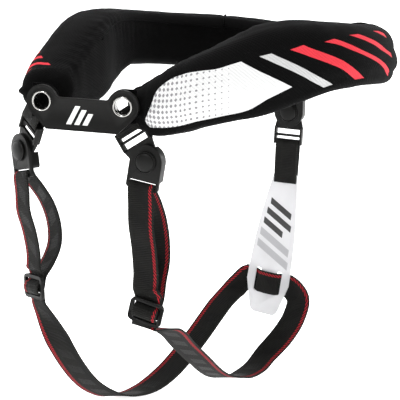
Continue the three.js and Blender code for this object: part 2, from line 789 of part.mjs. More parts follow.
// Stops that take the strap behind the tongue, out through one slot, across and in again.
function tongueStops() {
  const edge = along(tonguePlace, 0, 0, 1);
  const off = tongueThickness / 2 + gap + webbingThickness / 2;
  const slot = tongueSlotSpacing / 2;
  const lean = 1.9;
  return [
    [-slot - 10, off + 4],
    [-slot - lean - 1, off + 0.1],
    [-slot - lean, off],
    [-slot, 0],
    [-slot + lean, -off],
    [-slot + lean + 1, -off - 0.1],
    [0, -off - 1],
    [slot - lean - 1, -off - 0.1],
    [slot - lean, -off],
    [slot, 0],
    [slot + lean, off],
    [slot + lean + 1, off + 0.1],
    [slot + 7, off + 2.5],
  ].map(([x, y]) => ({ at: spot(tonguePlace, x, y, -tongueSlotDrop), edge }));
}

// A run's stops between the slider and the tongue.
function runStops(rows, from, to, sag, edge) {
  const way = to.clone().sub(from);
  const side = vec(way.y, -way.x, 0).normalize();
  return rows.map((row) => ({
    at: from.clone().addScaledVector(way, row.along).addScaledVector(side, row.side * sag)
      .add(vec(0, 0, -row.sag * sag)),
    edge,
  }));
}

function harnessRoute() {
  const edgeLeft = vec(1, 1, 0).normalize();
  const edgeRight = edgeLeft.clone().negate();
  const leftLoopStops = loopStops(left, leftSnap, leftSliderPlace, leftLoop, 1);
  const rightLoopStops = loopStops(right, rightSnap, rightSliderPlace, rightLoop, -1);
  const across = tongueStops();
  const rightEnd = rightLoopStops[rightLoopStops.length - 1];
  const leftEnd = leftLoopStops[leftLoopStops.length - 1];
  const first = across[0];
  const last = across[across.length - 1];
  const rightPart = runStops(rightRun, rightEnd.at, first.at, rightSag, edgeRight);
  const leftPart = runStops(leftRun, leftEnd.at, last.at, leftSag, edgeLeft);
  return [
    ...rightLoopStops.slice(0, -1),
    ...smooth([rightEnd, ...rightPart, first], 14).slice(0, -1),
    ...across.slice(0, -1),
    ...smooth([last, ...leftPart.reverse(), leftEnd], 14).slice(0, -1),
    ...leftLoopStops.reverse(),
  ];
}

// The webbing pieces that hang the three snaps from the foam.
const leftAnchorPlace = linkBarPlace(left);
const rightAnchorPlace = linkBarPlace(right);
const rearAnchorPlace = placeAt(middleOf(bodyBarPlace(rear)), rearSnap.turn, 0);
const leftAnchorEnd = raised(leftAnchorPlace, leftSnap.anchor);
const rightAnchorEnd = raised(rightAnchorPlace, rightSnap.anchor);
const rearAnchorEnd = raised(rearAnchorPlace, rearSnap.anchor);

// The room that a webbing's doubled end needs inside the pad.
function anchorRoom(bar, end) {
  const edge = along(bar, 1, 0, 0);
  const stops = [raised(bar, -barHeight), raised(end, gap)].map((place) => ({ at: middleOf(place), edge }));
  return toManifold(band(stops, webbingWidth + 4 * gap, 2 * (wrapRadius + gap) + webbingThickness));
}

// The room that a link's upper end needs.
function linkRoom(snap) {
  const room = toManifold(slab(linkOutline(gap), linkMiddle + railDepth / 2 + gap, railDepth + 2 * gap));
  return room.transform(snap.link.elements);
}

function collarPad() {
  let pad = foamBody();
  for (const side of [-1, 1]) pad = pad.add(tabManifold(side));
  for (const side of [-1, 1]) pad = pad.subtract(tabHole(side));
  pad = pad.subtract(anchorRoom(leftAnchorPlace, leftAnchorEnd));
  pad = pad.subtract(anchorRoom(rightAnchorPlace, rightAnchorEnd));
  pad = pad.subtract(anchorRoom(rearAnchorPlace, rearAnchorEnd));
  for (const snap of [left, right]) pad = pad.subtract(linkRoom(snap));
  return fromManifold(largest(pad));
}

const collar = new THREE.Group();
collar.add(named("collar_pad", collarPad(), fabric()));

const plateGroup = groupAt(platePlace);
const plateSlab = slab(plateShape(), plateFront, plateThickness, roundSteps);
plateGroup.add(named("front_plate", plateSlab, material(colours.plate, 0.5, 0)));
for (const [name, side] of [["left", 1], ["right", -1]]) {
  const eyelet = named(`${name}_eyelet`, eyeletShape(), material(colours.eyelet, 0.15, 1));
  eyelet.position.x = side * (eyeletSpacing / 2);
  plateGroup.add(eyelet);
}
collar.add(plateGroup);

for (const [name, snap] of [["left", left], ["right", right], ["rear", rear]]) {
  const body = groupAt(snap.body);
  body.add(named(`${name}_buckle_body`, fromManifold(bodyManifold(snap.linkAngle)), plastic()));
  body.add(named(`${name}_snap_cap`, capShape(), plastic()));
  const link = groupAt(snap.link);
  link.add(named(`${name}_buckle_link`, fromManifold(linkShape()), plastic()));
  collar.add(body, link);
}

for (const [name, place] of [["left", leftSliderPlace], ["right", rightSliderPlace]]) {
  const slider = groupAt(place);
  slider.add(named(`${name}_slider`, sliderShape(), plastic()));
  collar.add(slider);
}

const strips = [
  ["left_anchor_webbing", foldedLoop(leftAnchorPlace, leftAnchorEnd)],
  ["right_anchor_webbing", foldedLoop(rightAnchorPlace, rightAnchorEnd)],
  ["rear_anchor_webbing", foldedLoop(rearAnchorPlace, rearAnchorEnd)],
  ["rear_loop_webbing", foldedLoop(rearBar, rearLoopEnd, tongueThickness + 2 * gap)],
];
for (const [name, stops] of strips) {
  collar.add(named(name, band(stops, webbingWidth, webbingThickness), webbing()));
}

const tongueGroup = groupAt(tonguePlace);
tongueGroup.add(named("back_tongue", tongueShape(), material(colours.tongue, 0.35, 0)));
collar.add(tongueGroup);

collar.add(named("harness_strap", band(harnessRoute(), webbingWidth, webbingThickness), webbing()));

export default collar;
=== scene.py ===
"""Looks of a soft neck collar with a webbing harness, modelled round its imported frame.

Lengths in the code are millimetres until a mesh is finished, when it is scaled to metres.
+Z is up, -Y is the wearer's front and +X the wearer's left.
"""

import math

import bmesh
import bpy
from bpy.props import FloatProperty, FloatVectorProperty, IntProperty, PointerProperty
from mathutils import Matrix, Vector, noise


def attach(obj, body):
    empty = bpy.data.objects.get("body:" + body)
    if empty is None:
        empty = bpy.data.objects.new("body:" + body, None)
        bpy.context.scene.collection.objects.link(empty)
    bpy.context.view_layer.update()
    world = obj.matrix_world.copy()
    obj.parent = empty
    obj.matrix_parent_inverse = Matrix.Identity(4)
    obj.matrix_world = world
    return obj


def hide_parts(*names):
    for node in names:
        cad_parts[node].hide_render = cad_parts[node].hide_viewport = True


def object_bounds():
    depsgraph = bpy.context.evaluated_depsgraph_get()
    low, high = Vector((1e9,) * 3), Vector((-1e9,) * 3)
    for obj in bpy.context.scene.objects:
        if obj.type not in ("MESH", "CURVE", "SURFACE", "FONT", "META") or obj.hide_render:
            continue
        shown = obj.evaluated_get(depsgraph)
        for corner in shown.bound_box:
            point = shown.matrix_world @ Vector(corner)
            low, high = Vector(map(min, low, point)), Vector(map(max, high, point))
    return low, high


bl_info = {
    "name": "Neck Collar",
    "version": (1, 0, 0),
    "blender": (4, 5, 0),
    "location": "View3D > Sidebar > Neck Collar",
    "description": "Models the cover, snaps, webbing and tongue of a soft neck collar",
    "category": "Add Mesh",
}

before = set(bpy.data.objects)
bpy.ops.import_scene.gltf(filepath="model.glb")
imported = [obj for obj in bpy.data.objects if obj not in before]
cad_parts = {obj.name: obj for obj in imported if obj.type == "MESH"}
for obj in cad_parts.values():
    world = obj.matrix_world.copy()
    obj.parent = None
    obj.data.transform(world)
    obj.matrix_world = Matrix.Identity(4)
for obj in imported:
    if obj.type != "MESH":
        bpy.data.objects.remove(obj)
CAD_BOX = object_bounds()
MM = 0.001

# The foam ring's sections, as in the solid, with the cover's hem a few millimetres lower: angle from the nape in degrees, then reach, low and
# high as shares of the middle radius and of the height, and the share of the thickness.
SECTIONS = (
    (168.5, 1.025, -0.43, 0.09, 0.52),
    (164.5, 0.995, -0.49, 0.19, 0.68),
    (157, 0.98, -0.48, 0.36, 0.84),
    (149, 0.985, -0.42, 0.49, 0.92),
    (142, 1.0, -0.34, 0.6, 0.98),
    (134, 1.01, -0.27, 0.73, 1.0),
    (124, 1.01, -0.19, 0.87, 1.0),
    (112, 1.0, -0.06, 0.93, 1.0),
    (98, 1.0, 0.07, 0.91, 0.99),
    (82, 1.0, 0.08, 0.86, 0.97),
    (60, 1.0, 0.02, 0.8, 0.93),
    (40, 0.99, -0.01, 0.76, 0.88),
    (20, 0.975, 0.0, 0.69, 0.84),
    (0, 0.965, 0.0, 0.66, 0.82),
    (-20, 0.975, 0.0, 0.69, 0.84),
    (-40, 0.99, 0.015, 0.75, 0.88),
    (-60, 1.0, 0.04, 0.8, 0.93),
    (-82, 1.0, 0.1, 0.86, 0.97),
    (-98, 1.0, 0.12, 0.91, 0.99),
    (-112, 1.0, 0.01, 0.93, 1.0),
    (-124, 1.0, -0.12, 0.92, 1.0),
    (-136, 1.025, -0.21, 0.84, 1.02),
    (-146, 1.095, -0.27, 0.7, 1.02),
    (-154, 1.195, -0.29, 0.54, 1.0),
    (-161, 1.3, -0.26, 0.4, 0.94),
    (-165, 1.37, -0.2, 0.31, 0.84),
)
MIDDLE_RADIUS = 110.5
PAD_HEIGHT = 56
PAD_THICKNESS = 45
TIP_ROUND = 9

# The plate's place and the hardware's own sizes, as in the solids.
PLATE_REACH, PLATE_DROP, PLATE_TURN, PLATE_TILT = 146.5, 5, 30, 2.2
PLATE_THICKNESS = 3
EYELET_SPACING = 61
WEBBING_WIDTH = 20
WEBBING_THICKNESS = 1.6
GAP = 0.35
LINK_BAR_UP, LINK_MIDDLE = 27.45, -3.05
BODY_BAR_MIDDLE = -19
SLIDER_PITCH, SLIDER_BAR, SLIDER_SLOT, SLIDER_THICKNESS = 7.8, 2.6, 5.2, 2.6
TONGUE_TURN, TONGUE_LEAN, TONGUE_THICKNESS = 25, 9, 1.5
TONGUE_SLOT_DROP, TONGUE_SLOT_SPACING = 98, 19


def linear(text):
    """A linear colour with alpha from sRGB hex text."""
    parts = [int(text[i : i + 2], 16) / 255 for i in (1, 3, 5)]
    return (*(c / 12.92 if c <= 0.04045 else ((c + 0.055) / 1.055) ** 2.4 for c in parts), 1.0)


class CollarSizes(bpy.types.PropertyGroup):
    """Sizes that change how the soft pieces look."""

    cover_rings: IntProperty(
        name="Cover rings", description="Rows of faces along the foam cover", default=250, min=60, max=400)
    piping: FloatProperty(
        name="Piping", description="Diameter of the cord in the cover's seams", default=0.0021,
        subtype="DISTANCE", unit="LENGTH")
    slack: FloatProperty(
        name="Slack", description="How far the cover's fabric waves in and out", default=0.0007,
        subtype="DISTANCE", unit="LENGTH")
    pucker: FloatProperty(
        name="Pucker", description="Depth of the gathers beside a seam", default=0.0006,
        subtype="DISTANCE", unit="LENGTH")
    mould_round: FloatProperty(
        name="Moulded round", description="Radius along the moulded pieces' edges", default=0.00045,
        subtype="DISTANCE", unit="LENGTH")
    halftone_pitch: FloatProperty(
        name="Halftone pitch", description="Spacing of the printed dots", default=0.004,
        subtype="DISTANCE", unit="LENGTH")


class CollarColours(bpy.types.PropertyGroup):
    """Colours of the collar's finishes."""

    fabric: FloatVectorProperty(
        name="Fabric", description="Stretch fabric of the cover", subtype="COLOR", size=4,
        default=linear("#080808"))
    panel: FloatVectorProperty(
        name="Panel", description="Printed white panel", subtype="COLOR", size=4, default=linear("#D3D3D3"))
    dots: FloatVectorProperty(
        name="Dots", description="Grey dots of the panel", subtype="COLOR", size=4, default=linear("#868688"))
    grey_stripe: FloatVectorProperty(
        name="Grey stripe", description="Printed grey stripe", subtype="COLOR", size=4, default=linear("#B9B9B9"))
    red_stripe: FloatVectorProperty(
        name="Red stripe", description="Printed red stripes", subtype="COLOR", size=4, default=linear("#D23A44"))
    webbing: FloatVectorProperty(
        name="Webbing", description="Black elastic webbing", subtype="COLOR", size=4, default=linear("#0B0B0A"))
    red_edge: FloatVectorProperty(
        name="Red edge", description="Rope line along the webbing's edge", subtype="COLOR", size=4,
        default=linear("#A3202A"))
    plastic: FloatVectorProperty(
        name="Plastic", description="Moulded snaps, links and sliders", subtype="COLOR", size=4,
        default=linear("#0B0B0A"))
    plate: FloatVectorProperty(
        name="Plate", description="Moulded front plate", subtype="COLOR", size=4, default=linear("#0A0A09"))
    tongue: FloatVectorProperty(
        name="Tongue", description="Translucent tongue", subtype="COLOR", size=4, default=linear("#D6D6D8"))


def add(tree, kind, settings=None, inputs=None):
    """Adds a node. An input takes a number, a socket, or a node for that node's first output."""
    made = tree.nodes.new(kind)
    for name, value in (settings or {}).items():
        setattr(made, name, value)
    for key, value in (inputs or {}).items():
        if isinstance(value, bpy.types.Node):
            value = value.outputs[0]
        if isinstance(value, bpy.types.NodeSocket):
            tree.links.new(value, made.inputs[key])
        else:
            made.inputs[key].default_value = value
    return made


def new_material(name):
    """An empty node material with its shader linked to the output."""
    material = bpy.data.materials.new(name)
    material.use_nodes = True
    tree = material.node_tree
    tree.nodes.clear()
    shader = add(tree, "ShaderNodeBsdfPrincipled")
    add(tree, "ShaderNodeOutputMaterial", inputs={"Surface": shader})
    return material, tree, shader


def connect(tree, shader, links):
    """Links outputs to the shader's sockets and sets its plain values."""
    for key, value in links.items():
        if isinstance(value, bpy.types.Node):
            value = value.outputs[0]
        if isinstance(value, bpy.types.NodeSocket):
            tree.links.new(value, shader.inputs[key])
        else:
            shader.inputs[key].default_value = value


def place_at(position, turn, lean):
    """A place turned about Z and then leaned in its own plane, with its front along -Y."""
    turned = Matrix.Rotation(math.radians(turn), 4, "Z")
    return Matrix.Translation(position) @ turned @ Matrix.Rotation(math.radians(lean), 4, "Y")


def spot(place, x, y, z):
    return place @ Vector((x, y, z))


def along(place, x, y, z):
    return (place.to_3x3() @ Vector((x, y, z))).normalized()


def raised(place, up):
    return place @ Matrix.Translation((0, 0, up))


def curve_point(points, t):
    """A point of the centripetal curve through the given points, t from 0 to 1."""
    last = len(points) - 1
    p = last * t
    i = min(int(p), last - 1)
    weight = p - i
    p1, p2 = points[i], points[i + 1]
    p0 = points[i - 1] if i > 0 else 2 * p1 - p2
    p3 = points[i + 2] if i + 2 <= last else 2 * p2 - p1
    d1 = math.sqrt((p2 - p1).length) or 1
    d0 = math.sqrt((p1 - p0).length) or d1
    d2 = math.sqrt((p3 - p2).length) or d1
    t1 = ((p1 - p0) / d0 - (p2 - p0) / (d0 + d1) + (p2 - p1) / d1) * d1
    t2 = ((p2 - p1) / d1 - (p3 - p1) / (d1 + d2) + (p3 - p2) / d2) * d1
    c2 = -3 * p1 + 3 * p2 - 2 * t1 - t2
    c3 = 2 * p1 - 2 * p2 + t1 + t2
    return p1 + t1 * weight + c2 * weight**2 + c3 * weight**3


def finished(name, bm, material, replaces=(), smooth=True):
    """Turns a bmesh in millimetres into a piece of the collar."""
    bmesh.ops.recalc_face_normals(bm, faces=bm.faces)
    bmesh.ops.scale(bm, vec=(MM, MM, MM), verts=bm.verts)
    mesh = bpy.data.meshes.new(name)
    bm.to_mesh(mesh)
    bm.free()
    piece = bpy.data.objects.new(name, mesh)
    bpy.context.scene.collection.objects.link(piece)
    mesh.materials.append(material)
    mesh.polygons.foreach_set("use_smooth", [smooth] * len(mesh.polygons))
    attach(piece, "root")
    if replaces:
        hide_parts(*replaces)
    return piece


def round_edges(piece, width, segments=3):
    """Rounds a moulded piece's edges."""
    bevel = piece.modifiers.new("edge_round", "BEVEL")
    bevel.width = width
    bevel.segments = segments
    bevel.profile = 0.5
    bevel.limit_method = "ANGLE"
    bevel.angle_limit = math.radians(38)
    bevel.harden_normals = True
    bevel.material = -1


def sweep(stops, profile, closed=True, wrap=True):
    """Carries a profile along stops of (centre, across axis, face axis) and bridges the rings.
    Its UV map holds the distance along and the profile's share, or distance, around."""
    bm = bmesh.new()
    run = bm.verts.layers.float.new("run")
    turn = bm.verts.layers.float.new("turn")
    number_on_ring = bm.verts.layers.float.new("number")
    period = bm.verts.layers.float.new("period")
    rings = []
    distance = 0.0
    for number, (centre, across, face, outline) in enumerate(
            (stop + (profile,))[:4] if len(stop) == 3 else stop for stop in stops):
        if number:
            distance += (centre - stops[number - 1][0]).length
        verts = []
        round_way = 0.0
        for k, (a, b) in enumerate(outline):
            if k:
                round_way += math.dist(outline[k - 1], (a, b))
            vert = bm.verts.new(centre + across * a + face * b)
            vert[run] = distance * MM
            vert[turn] = round_way * MM
            vert[number_on_ring] = k
            verts.append(vert)
        full = (round_way + math.dist(outline[-1], outline[0])) * MM
        for vert in verts:
            vert[period] = full
        rings.append([bm.edges.new(pair) for pair in zip(verts, verts[1:] + verts[:1])])
    for near, far in zip(rings, rings[1:]):
        bmesh.ops.bridge_loops(bm, edges=near + far)
    if closed:
        for ring in (rings[0], rings[-1]):
            bmesh.ops.contextual_create(bm, geom=ring)
    uv = bm.loops.layers.uv.new("UVMap")
    for surface in bm.faces:
        turns = [loop.vert[turn] for loop in surface.loops]
        split = max(turns) - min(turns) > 0.5 * surface.loops[0].vert[period]
        for loop in surface.loops:
            around = loop.vert[turn]
            if wrap and split and around < 0.5 * loop.vert[period]:
                around += loop.vert[period]
            loop[uv].uv = (loop.vert[run], around)
    return bm


def tube(path, radius, sides=10):
    """A round cord along a path of points."""
    profile = [(radius * math.cos(a), radius * math.sin(a))
               for a in (2 * math.pi * k / sides for k in range(sides))]
    stops = []
    across = None
    for i, point in enumerate(path):
        way = (path[min(i + 1, len(path) - 1)] - path[max(i - 1, 0)]).normalized()
        guess = across or way.orthogonal()
        across = (guess - way * guess.dot(way)).normalized()
        stops.append((point, across, way.cross(across)))
    return sweep(stops, profile)


def strip(route, width, thickness, step=2.4):
    """A flat woven strip along a route of (point, edge way) stops, with soft edges."""
    half, depth = width / 2, thickness / 2
    soft = 0.45 * depth
    profile = [(half, 0), (half - 0.12, soft), (half - 0.5, depth), (half * 0.6, depth), (0, depth),
               (-half * 0.6, depth), (-half + 0.5, depth), (-half + 0.12, soft), (-half, 0),
               (-half + 0.12, -soft), (-half + 0.5, -depth), (-half * 0.6, -depth), (0, -depth),
               (half * 0.6, -depth), (half - 0.5, -depth), (half - 0.12, -soft)]
    points = [at for at, _ in route]
    last = len(route) - 1
    fine = []
    for i in range(last):
        count = max(1, round((points[i + 1] - points[i]).length / step))
        for k in range(count):
            share = k / count
            fine.append((curve_point(points, (i + share) / last), route[i][1].lerp(route[i + 1][1], share)))
    fine.append(route[-1])
    stops = []
    for i, (at, edge) in enumerate(fine):
        way = (fine[min(i + 1, len(fine) - 1)][0] - fine[max(i - 1, 0)][0]).normalized()
        edge = (edge - way * edge.dot(way)).normalized()
        stops.append((at, edge, way.cross(edge)))
    bm = sweep(stops, profile, wrap=False)
    uv = bm.loops.layers.uv["UVMap"]
    index = bm.verts.layers.float["turn"]
    place = {}
    walked = 0.0
    for k, (a, b) in enumerate(profile):
        if k:
            walked += math.dist(profile[k - 1], (a, b))
        place[round(walked * MM, 6)] = (a / width) + 0.5
    for surface in bm.faces:
        for loop in surface.loops:
            loop[uv].uv = (loop[uv].uv[0], place[round(loop.vert[index], 6)])
    return bm


def arc(cx, cz, radius, start, end, steps):
    """Points of an arc in degrees, both ends included."""
    angles = (math.radians(start + (end - start) * k / steps) for k in range(steps + 1))
    return [(cx + radius * math.cos(a), cz + radius * math.sin(a)) for a in angles]


def slab(loops, front, thickness, place, rim=None):
    """A flat outline with holes made solid, its front towards -Y of its place. rim is a border's
    width and how far the field inside it lies back."""
    bm = bmesh.new()
    edges = []
    for outline in loops:
        verts = [bm.verts.new((x, -front, z)) for x, z in outline]
        edges += [bm.edges.new(pair) for pair in zip(verts, verts[1:] + verts[:1])]
    bmesh.ops.triangle_fill(bm, use_beauty=True, use_dissolve=False, edges=edges, normal=(0, -1, 0))
    grown = bmesh.ops.extrude_face_region(bm, geom=bm.faces[:])["geom"]
    verts = [item for item in grown if isinstance(item, bmesh.types.BMVert)]
    bmesh.ops.translate(bm, vec=(0, thickness, 0), verts=verts)
    bmesh.ops.recalc_face_normals(bm, faces=bm.faces)
    if rim:
        bm.normal_update()
        field = [f for f in bm.faces if f.normal.y < -0.9]
        bmesh.ops.inset_region(bm, faces=field, thickness=rim[0], use_boundary=True, use_even_offset=True)
        bmesh.ops.inset_region(
            bm, faces=field, thickness=0.9, depth=-rim[1], use_boundary=True, use_even_offset=True)
    own_uv(bm)
    bmesh.ops.transform(bm, matrix=place, verts=bm.verts)
    return bm


def own_uv(bm, place=None):
    """A UV map in metres over a piece's own front."""
    uv = bm.loops.layers.uv.new("UVMap")
    back = (place or Matrix()).inverted()
    for surface in bm.faces:
        for loop in surface.loops:
            local = back @ loop.vert.co
            loop[uv].uv = (local.x * MM, local.z * MM)


def lathe(outline, steps, place):
    """A round piece about the front-to-back axis of its place, from (radius, front) pairs."""
    bm = bmesh.new()
    verts = [bm.verts.new((radius, -front, 0)) for radius, front in outline]
    edges = [bm.edges.new(pair) for pair in zip(verts, verts[1:])]
    if outline[0][0] > 0:
        edges.append(bm.edges.new((verts[-1], verts[0])))
    bmesh.ops.spin(bm, geom=verts + edges, cent=(0, 0, 0), axis=(0, 1, 0), angle=2 * math.pi,
                   steps=steps, use_merge=True)
    bmesh.ops.remove_doubles(bm, verts=bm.verts, dist=0.0005)
    bmesh.ops.transform(bm, matrix=place, verts=bm.verts)
    return bm


def from_solid(node, place=None):
    """A clean copy of a solid's mesh in millimetres, with its flat faces joined."""
    bm = bmesh.new()
    bm.from_mesh(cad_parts[node].data)
    bmesh.ops.scale(bm, vec=(1 / MM,) * 3, verts=bm.verts)
    bmesh.ops.remove_doubles(bm, verts=bm.verts, dist=0.002)
    bmesh.ops.dissolve_limit(bm, angle_limit=math.radians(0.8), verts=bm.verts, edges=bm.edges)
    for layer in list(bm.loops.layers.uv.values()):
        bm.loops.layers.uv.remove(layer)
    own_uv(bm, place)
    return bm


# Places of the hardware.
PLATE_PLACE = place_at((0, -PLATE_REACH, -PLATE_DROP), PLATE_TURN, PLATE_TILT)
SNAPS = {
    "left": {"side": 1, "out": 46, "drop": 40, "back": 9, "turn": 25, "link": -32, "body": 10, "anchor": 14},
    "right": {"side": -1, "out": 54, "drop": 41, "back": 18.5, "turn": -8, "link": 30, "body": -12, "anchor": 15},
    "rear": {"turn": 25, "link": 183, "body": 180, "anchor": 26},
}
for snap in SNAPS.values():
    if "side" in snap:
        snap["centre"] = spot(PLATE_PLACE, snap["side"] * snap["out"], snap["back"], -snap["drop"])
    else:
        nape_inside = 0.965 * MIDDLE_RADIUS - 0.41 * PAD_THICKNESS
        snap["centre"] = Vector((-17, nape_inside + 13 - 0.12 * PAD_THICKNESS, -36))
    snap["body_place"] = place_at(snap["centre"], snap["turn"], snap["body"])
    snap["link_place"] = place_at(snap["centre"], snap["turn"], snap["link"])
    snap["link_bar"] = snap["link_place"] @ Matrix.Translation((0, -LINK_MIDDLE, LINK_BAR_UP))
    snap["body_bar"] = raised(snap["body_place"], BODY_BAR_MIDDLE)

LOOPS = {
    "left": {"drop": 93, "shift": 2, "back": 0, "bulge": 27, "tilt": 14},
    "right": {"drop": 86, "shift": 0, "back": 6, "bulge": 22, "tilt": 4},
}
for side_name, loop_size in LOOPS.items():
    snap = SNAPS[side_name]
    hang = place_at(snap["body_bar"].translation, snap["turn"], 0)
    middle = spot(hang, snap["side"] * loop_size["shift"], loop_size["back"], -loop_size["drop"])
    loop_size["slider"] = place_at(middle, snap["turn"], snap["side"] * loop_size["tilt"])

REAR_BAR = SNAPS["rear"]["link_bar"]
TONGUE_PLACE = place_at(spot(REAR_BAR, 0, 0, 34 - 7), TONGUE_TURN, TONGUE_LEAN)
WRAP_RADIUS = math.hypot(3, 3) / 2 + GAP + WEBBING_THICKNESS / 2
BAR_RISE = 3 / 2 + 1.2

# The strap's free runs: share of the way, and side and sag as shares of the run's sag.
LEFT_SAG, RIGHT_SAG = 72, 90
LEFT_RUN = ((0.12, 0.06, 0.1), (0.26, -0.02, 0.36), (0.39, -0.06, 0.62), (0.52, -0.15, 0.84),
            (0.63, -0.19, 0.97), (0.73, -0.14, 1.0), (0.81, -0.1, 0.94), (0.88, -0.08, 0.82),
            (0.945, 0.0, 0.65), (0.995, 0.1, 0.4), (1.02, 0.12, 0.16))
RIGHT_RUN = ((0.07, 0.02, 0.36), (0.157, -0.04, 0.65), (0.246, -0.1, 0.86), (0.35, -0.13, 1.0),
             (0.44, -0.14, 1.03), (0.534, -0.14, 0.99), (0.64, -0.13, 0.85), (0.78, -0.12, 0.55),
             (0.89, -0.12, 0.29), (0.97, -0.1, 0.13))
# An adjuster loop's layers: share of the drop, and how far out as a share of the bulge.
LOOP_FRONT = ((0.14, 0.14), (0.3, 0.16), (0.5, 0.0), (0.7, -0.08), (0.84, -0.05))
LOOP_BACK = ((0.1, -0.42), (0.26, -0.78), (0.45, -0.98), (0.64, -0.94), (0.8, -0.6))


def smooth(stops, spacing):
    """Stops along a smooth curve through the given ones."""
    points = [at for at, _ in stops]
    last = len(stops) - 1
    route = []
    for i in range(last):
        steps = max(1, math.floor((points[i + 1] - points[i]).length / spacing + 0.5))
        for k in range(steps):
            share = k / steps
            route.append((curve_point(points, (i + share) / last), stops[i][1].lerp(stops[i + 1][1], share)))
    route.append(stops[-1])
    return route


def round_bar(place, radius, angles, edge):
    """Stops round a bar, 0 degrees to the front and 90 up."""
    return [(spot(place, 0, -radius * math.cos(math.radians(a)), radius * math.sin(math.radians(a))), edge)
            for a in angles]


def folded_loop(bar, end, between=GAP):
    """A strip folded under a bar, with its two layers side by side at its end."""
    layer = WEBBING_THICKNESS / 2 + between / 2
    edge = along(bar, 1, 0, 0)
    sides = []
    for way in (-1, 1):
        stops = []
        for share in (1, 0):
            depth = way * (layer * share + WRAP_RADIUS * (1 - share))
            near, far = spot(bar, 0, depth, BAR_RISE), spot(end, 0, depth, 0)
            stops.append((near.lerp(far, share), edge))
        sides.append(stops)
    return sides[0] + round_bar(bar, WRAP_RADIUS, range(0, -181, -20), edge) + sides[1][::-1]


def loop_stops(name, edge_side):
    """One adjuster loop, from its sewn end up the back, over the snap's bar and down the front."""
    snap, loop = SNAPS[name], LOOPS[name]
    bar, slider = snap["body_bar"], loop["slider"]
    bar_edge, slider_edge = along(bar, edge_side, 0, 0), along(slider, edge_side, 0, 0)
    top, foot = bar.translation, slider.translation
    front = along(place_at((0, 0, 0), snap["turn"], 0), 0, -1, 0)

    def layer(rows):
        return [(top.lerp(foot, down) + front * out * loop["bulge"], bar_edge.lerp(slider_edge, down))
                for down, out in rows]

    def in_slider(rows):
        return [(spot(slider, 0, -forward, up), slider_edge) for forward, up in rows]

    behind = SLIDER_THICKNESS / 2 + GAP + WEBBING_THICKNESS / 2
    sewn_radius = math.hypot(SLIDER_BAR, SLIDER_THICKNESS) / 2 + GAP + WEBBING_THICKNESS / 2
    half_bar = SLIDER_BAR / 2
    sewn_end = round_bar(slider, sewn_radius, (-95, -120, -150, 180), slider_edge) + in_slider(
        ((-behind - 1.4, 3.2), (-behind - 2.6, SLIDER_PITCH)))
    through = in_slider((
        (-behind, SLIDER_PITCH + 3), (-behind, SLIDER_PITCH - 1.7), (-0.6, half_bar + 0.45 * SLIDER_SLOT),
        (behind - 0.25, half_bar + 1.3), (behind + 0.65, 0), (behind + 0.4, -half_bar - 1.6),
        (1.6, -half_bar - 3.3), (0, 1.4 - half_bar - SLIDER_SLOT), (-1.3, 1.4 - half_bar - SLIDER_SLOT),
        (-behind, 0.4 - half_bar - SLIDER_SLOT), (-behind - 0.2, -SLIDER_PITCH - 1.8),
        (-behind - 0.6, -SLIDER_PITCH - 4.5)))
    return (sewn_end + smooth(layer(LOOP_BACK)[::-1], 14)
            + round_bar(bar, WRAP_RADIUS, (180, 150, 120, 90, 60, 30, 0), bar_edge)
            + smooth(layer(LOOP_FRONT), 16) + through)


def tongue_stops():
    """The strap's way behind the tongue, out through one slot, across and in again."""
    edge = along(TONGUE_PLACE, 0, 0, 1)
    off = TONGUE_THICKNESS / 2 + GAP + WEBBING_THICKNESS / 2
    slot = TONGUE_SLOT_SPACING / 2
    lean = 1.9
    rows = ((-slot - 10, off + 4), (-slot - lean - 1, off + 0.1), (-slot - lean, off), (-slot, 0),
            (-slot + lean, -off), (-slot + lean + 1, -off - 0.1), (0, -off - 1),
            (slot - lean - 1, -off - 0.1), (slot - lean, -off), (slot, 0), (slot + lean, off),
            (slot + lean + 1, off + 0.1), (slot + 7, off + 2.5))
    return [(spot(TONGUE_PLACE, x, y, -TONGUE_SLOT_DROP), edge) for x, y in rows]


def run_stops(rows, start, end, sag, edge):
    """A free run's stops between the slider and the tongue."""
    way = end - start
    side = Vector((way.y, -way.x, 0)).normalized()
    return [(start + way * share + side * aside * sag + Vector((0, 0, -low * sag)), edge)
            for share, aside, low in rows]


def harness_route():
    """The whole strap's stops, from the right slider through the tongue to the left slider."""
    edge_left = Vector((1, 1, 0)).normalized()
    left, right, across = loop_stops("left", 1), loop_stops("right", -1), tongue_stops()
    right_part = run_stops(RIGHT_RUN, right[-1][0], across[0][0], RIGHT_SAG, -edge_left)
    left_part = run_stops(LEFT_RUN, left[-1][0], across[-1][0], LEFT_SAG, edge_left)
    return (right[:-1] + smooth([right[-1], *right_part, across[0]], 14)[:-1] + across[:-1]
            + smooth([across[-1], *left_part[::-1], left[-1]], 14)[:-1] + left[::-1])


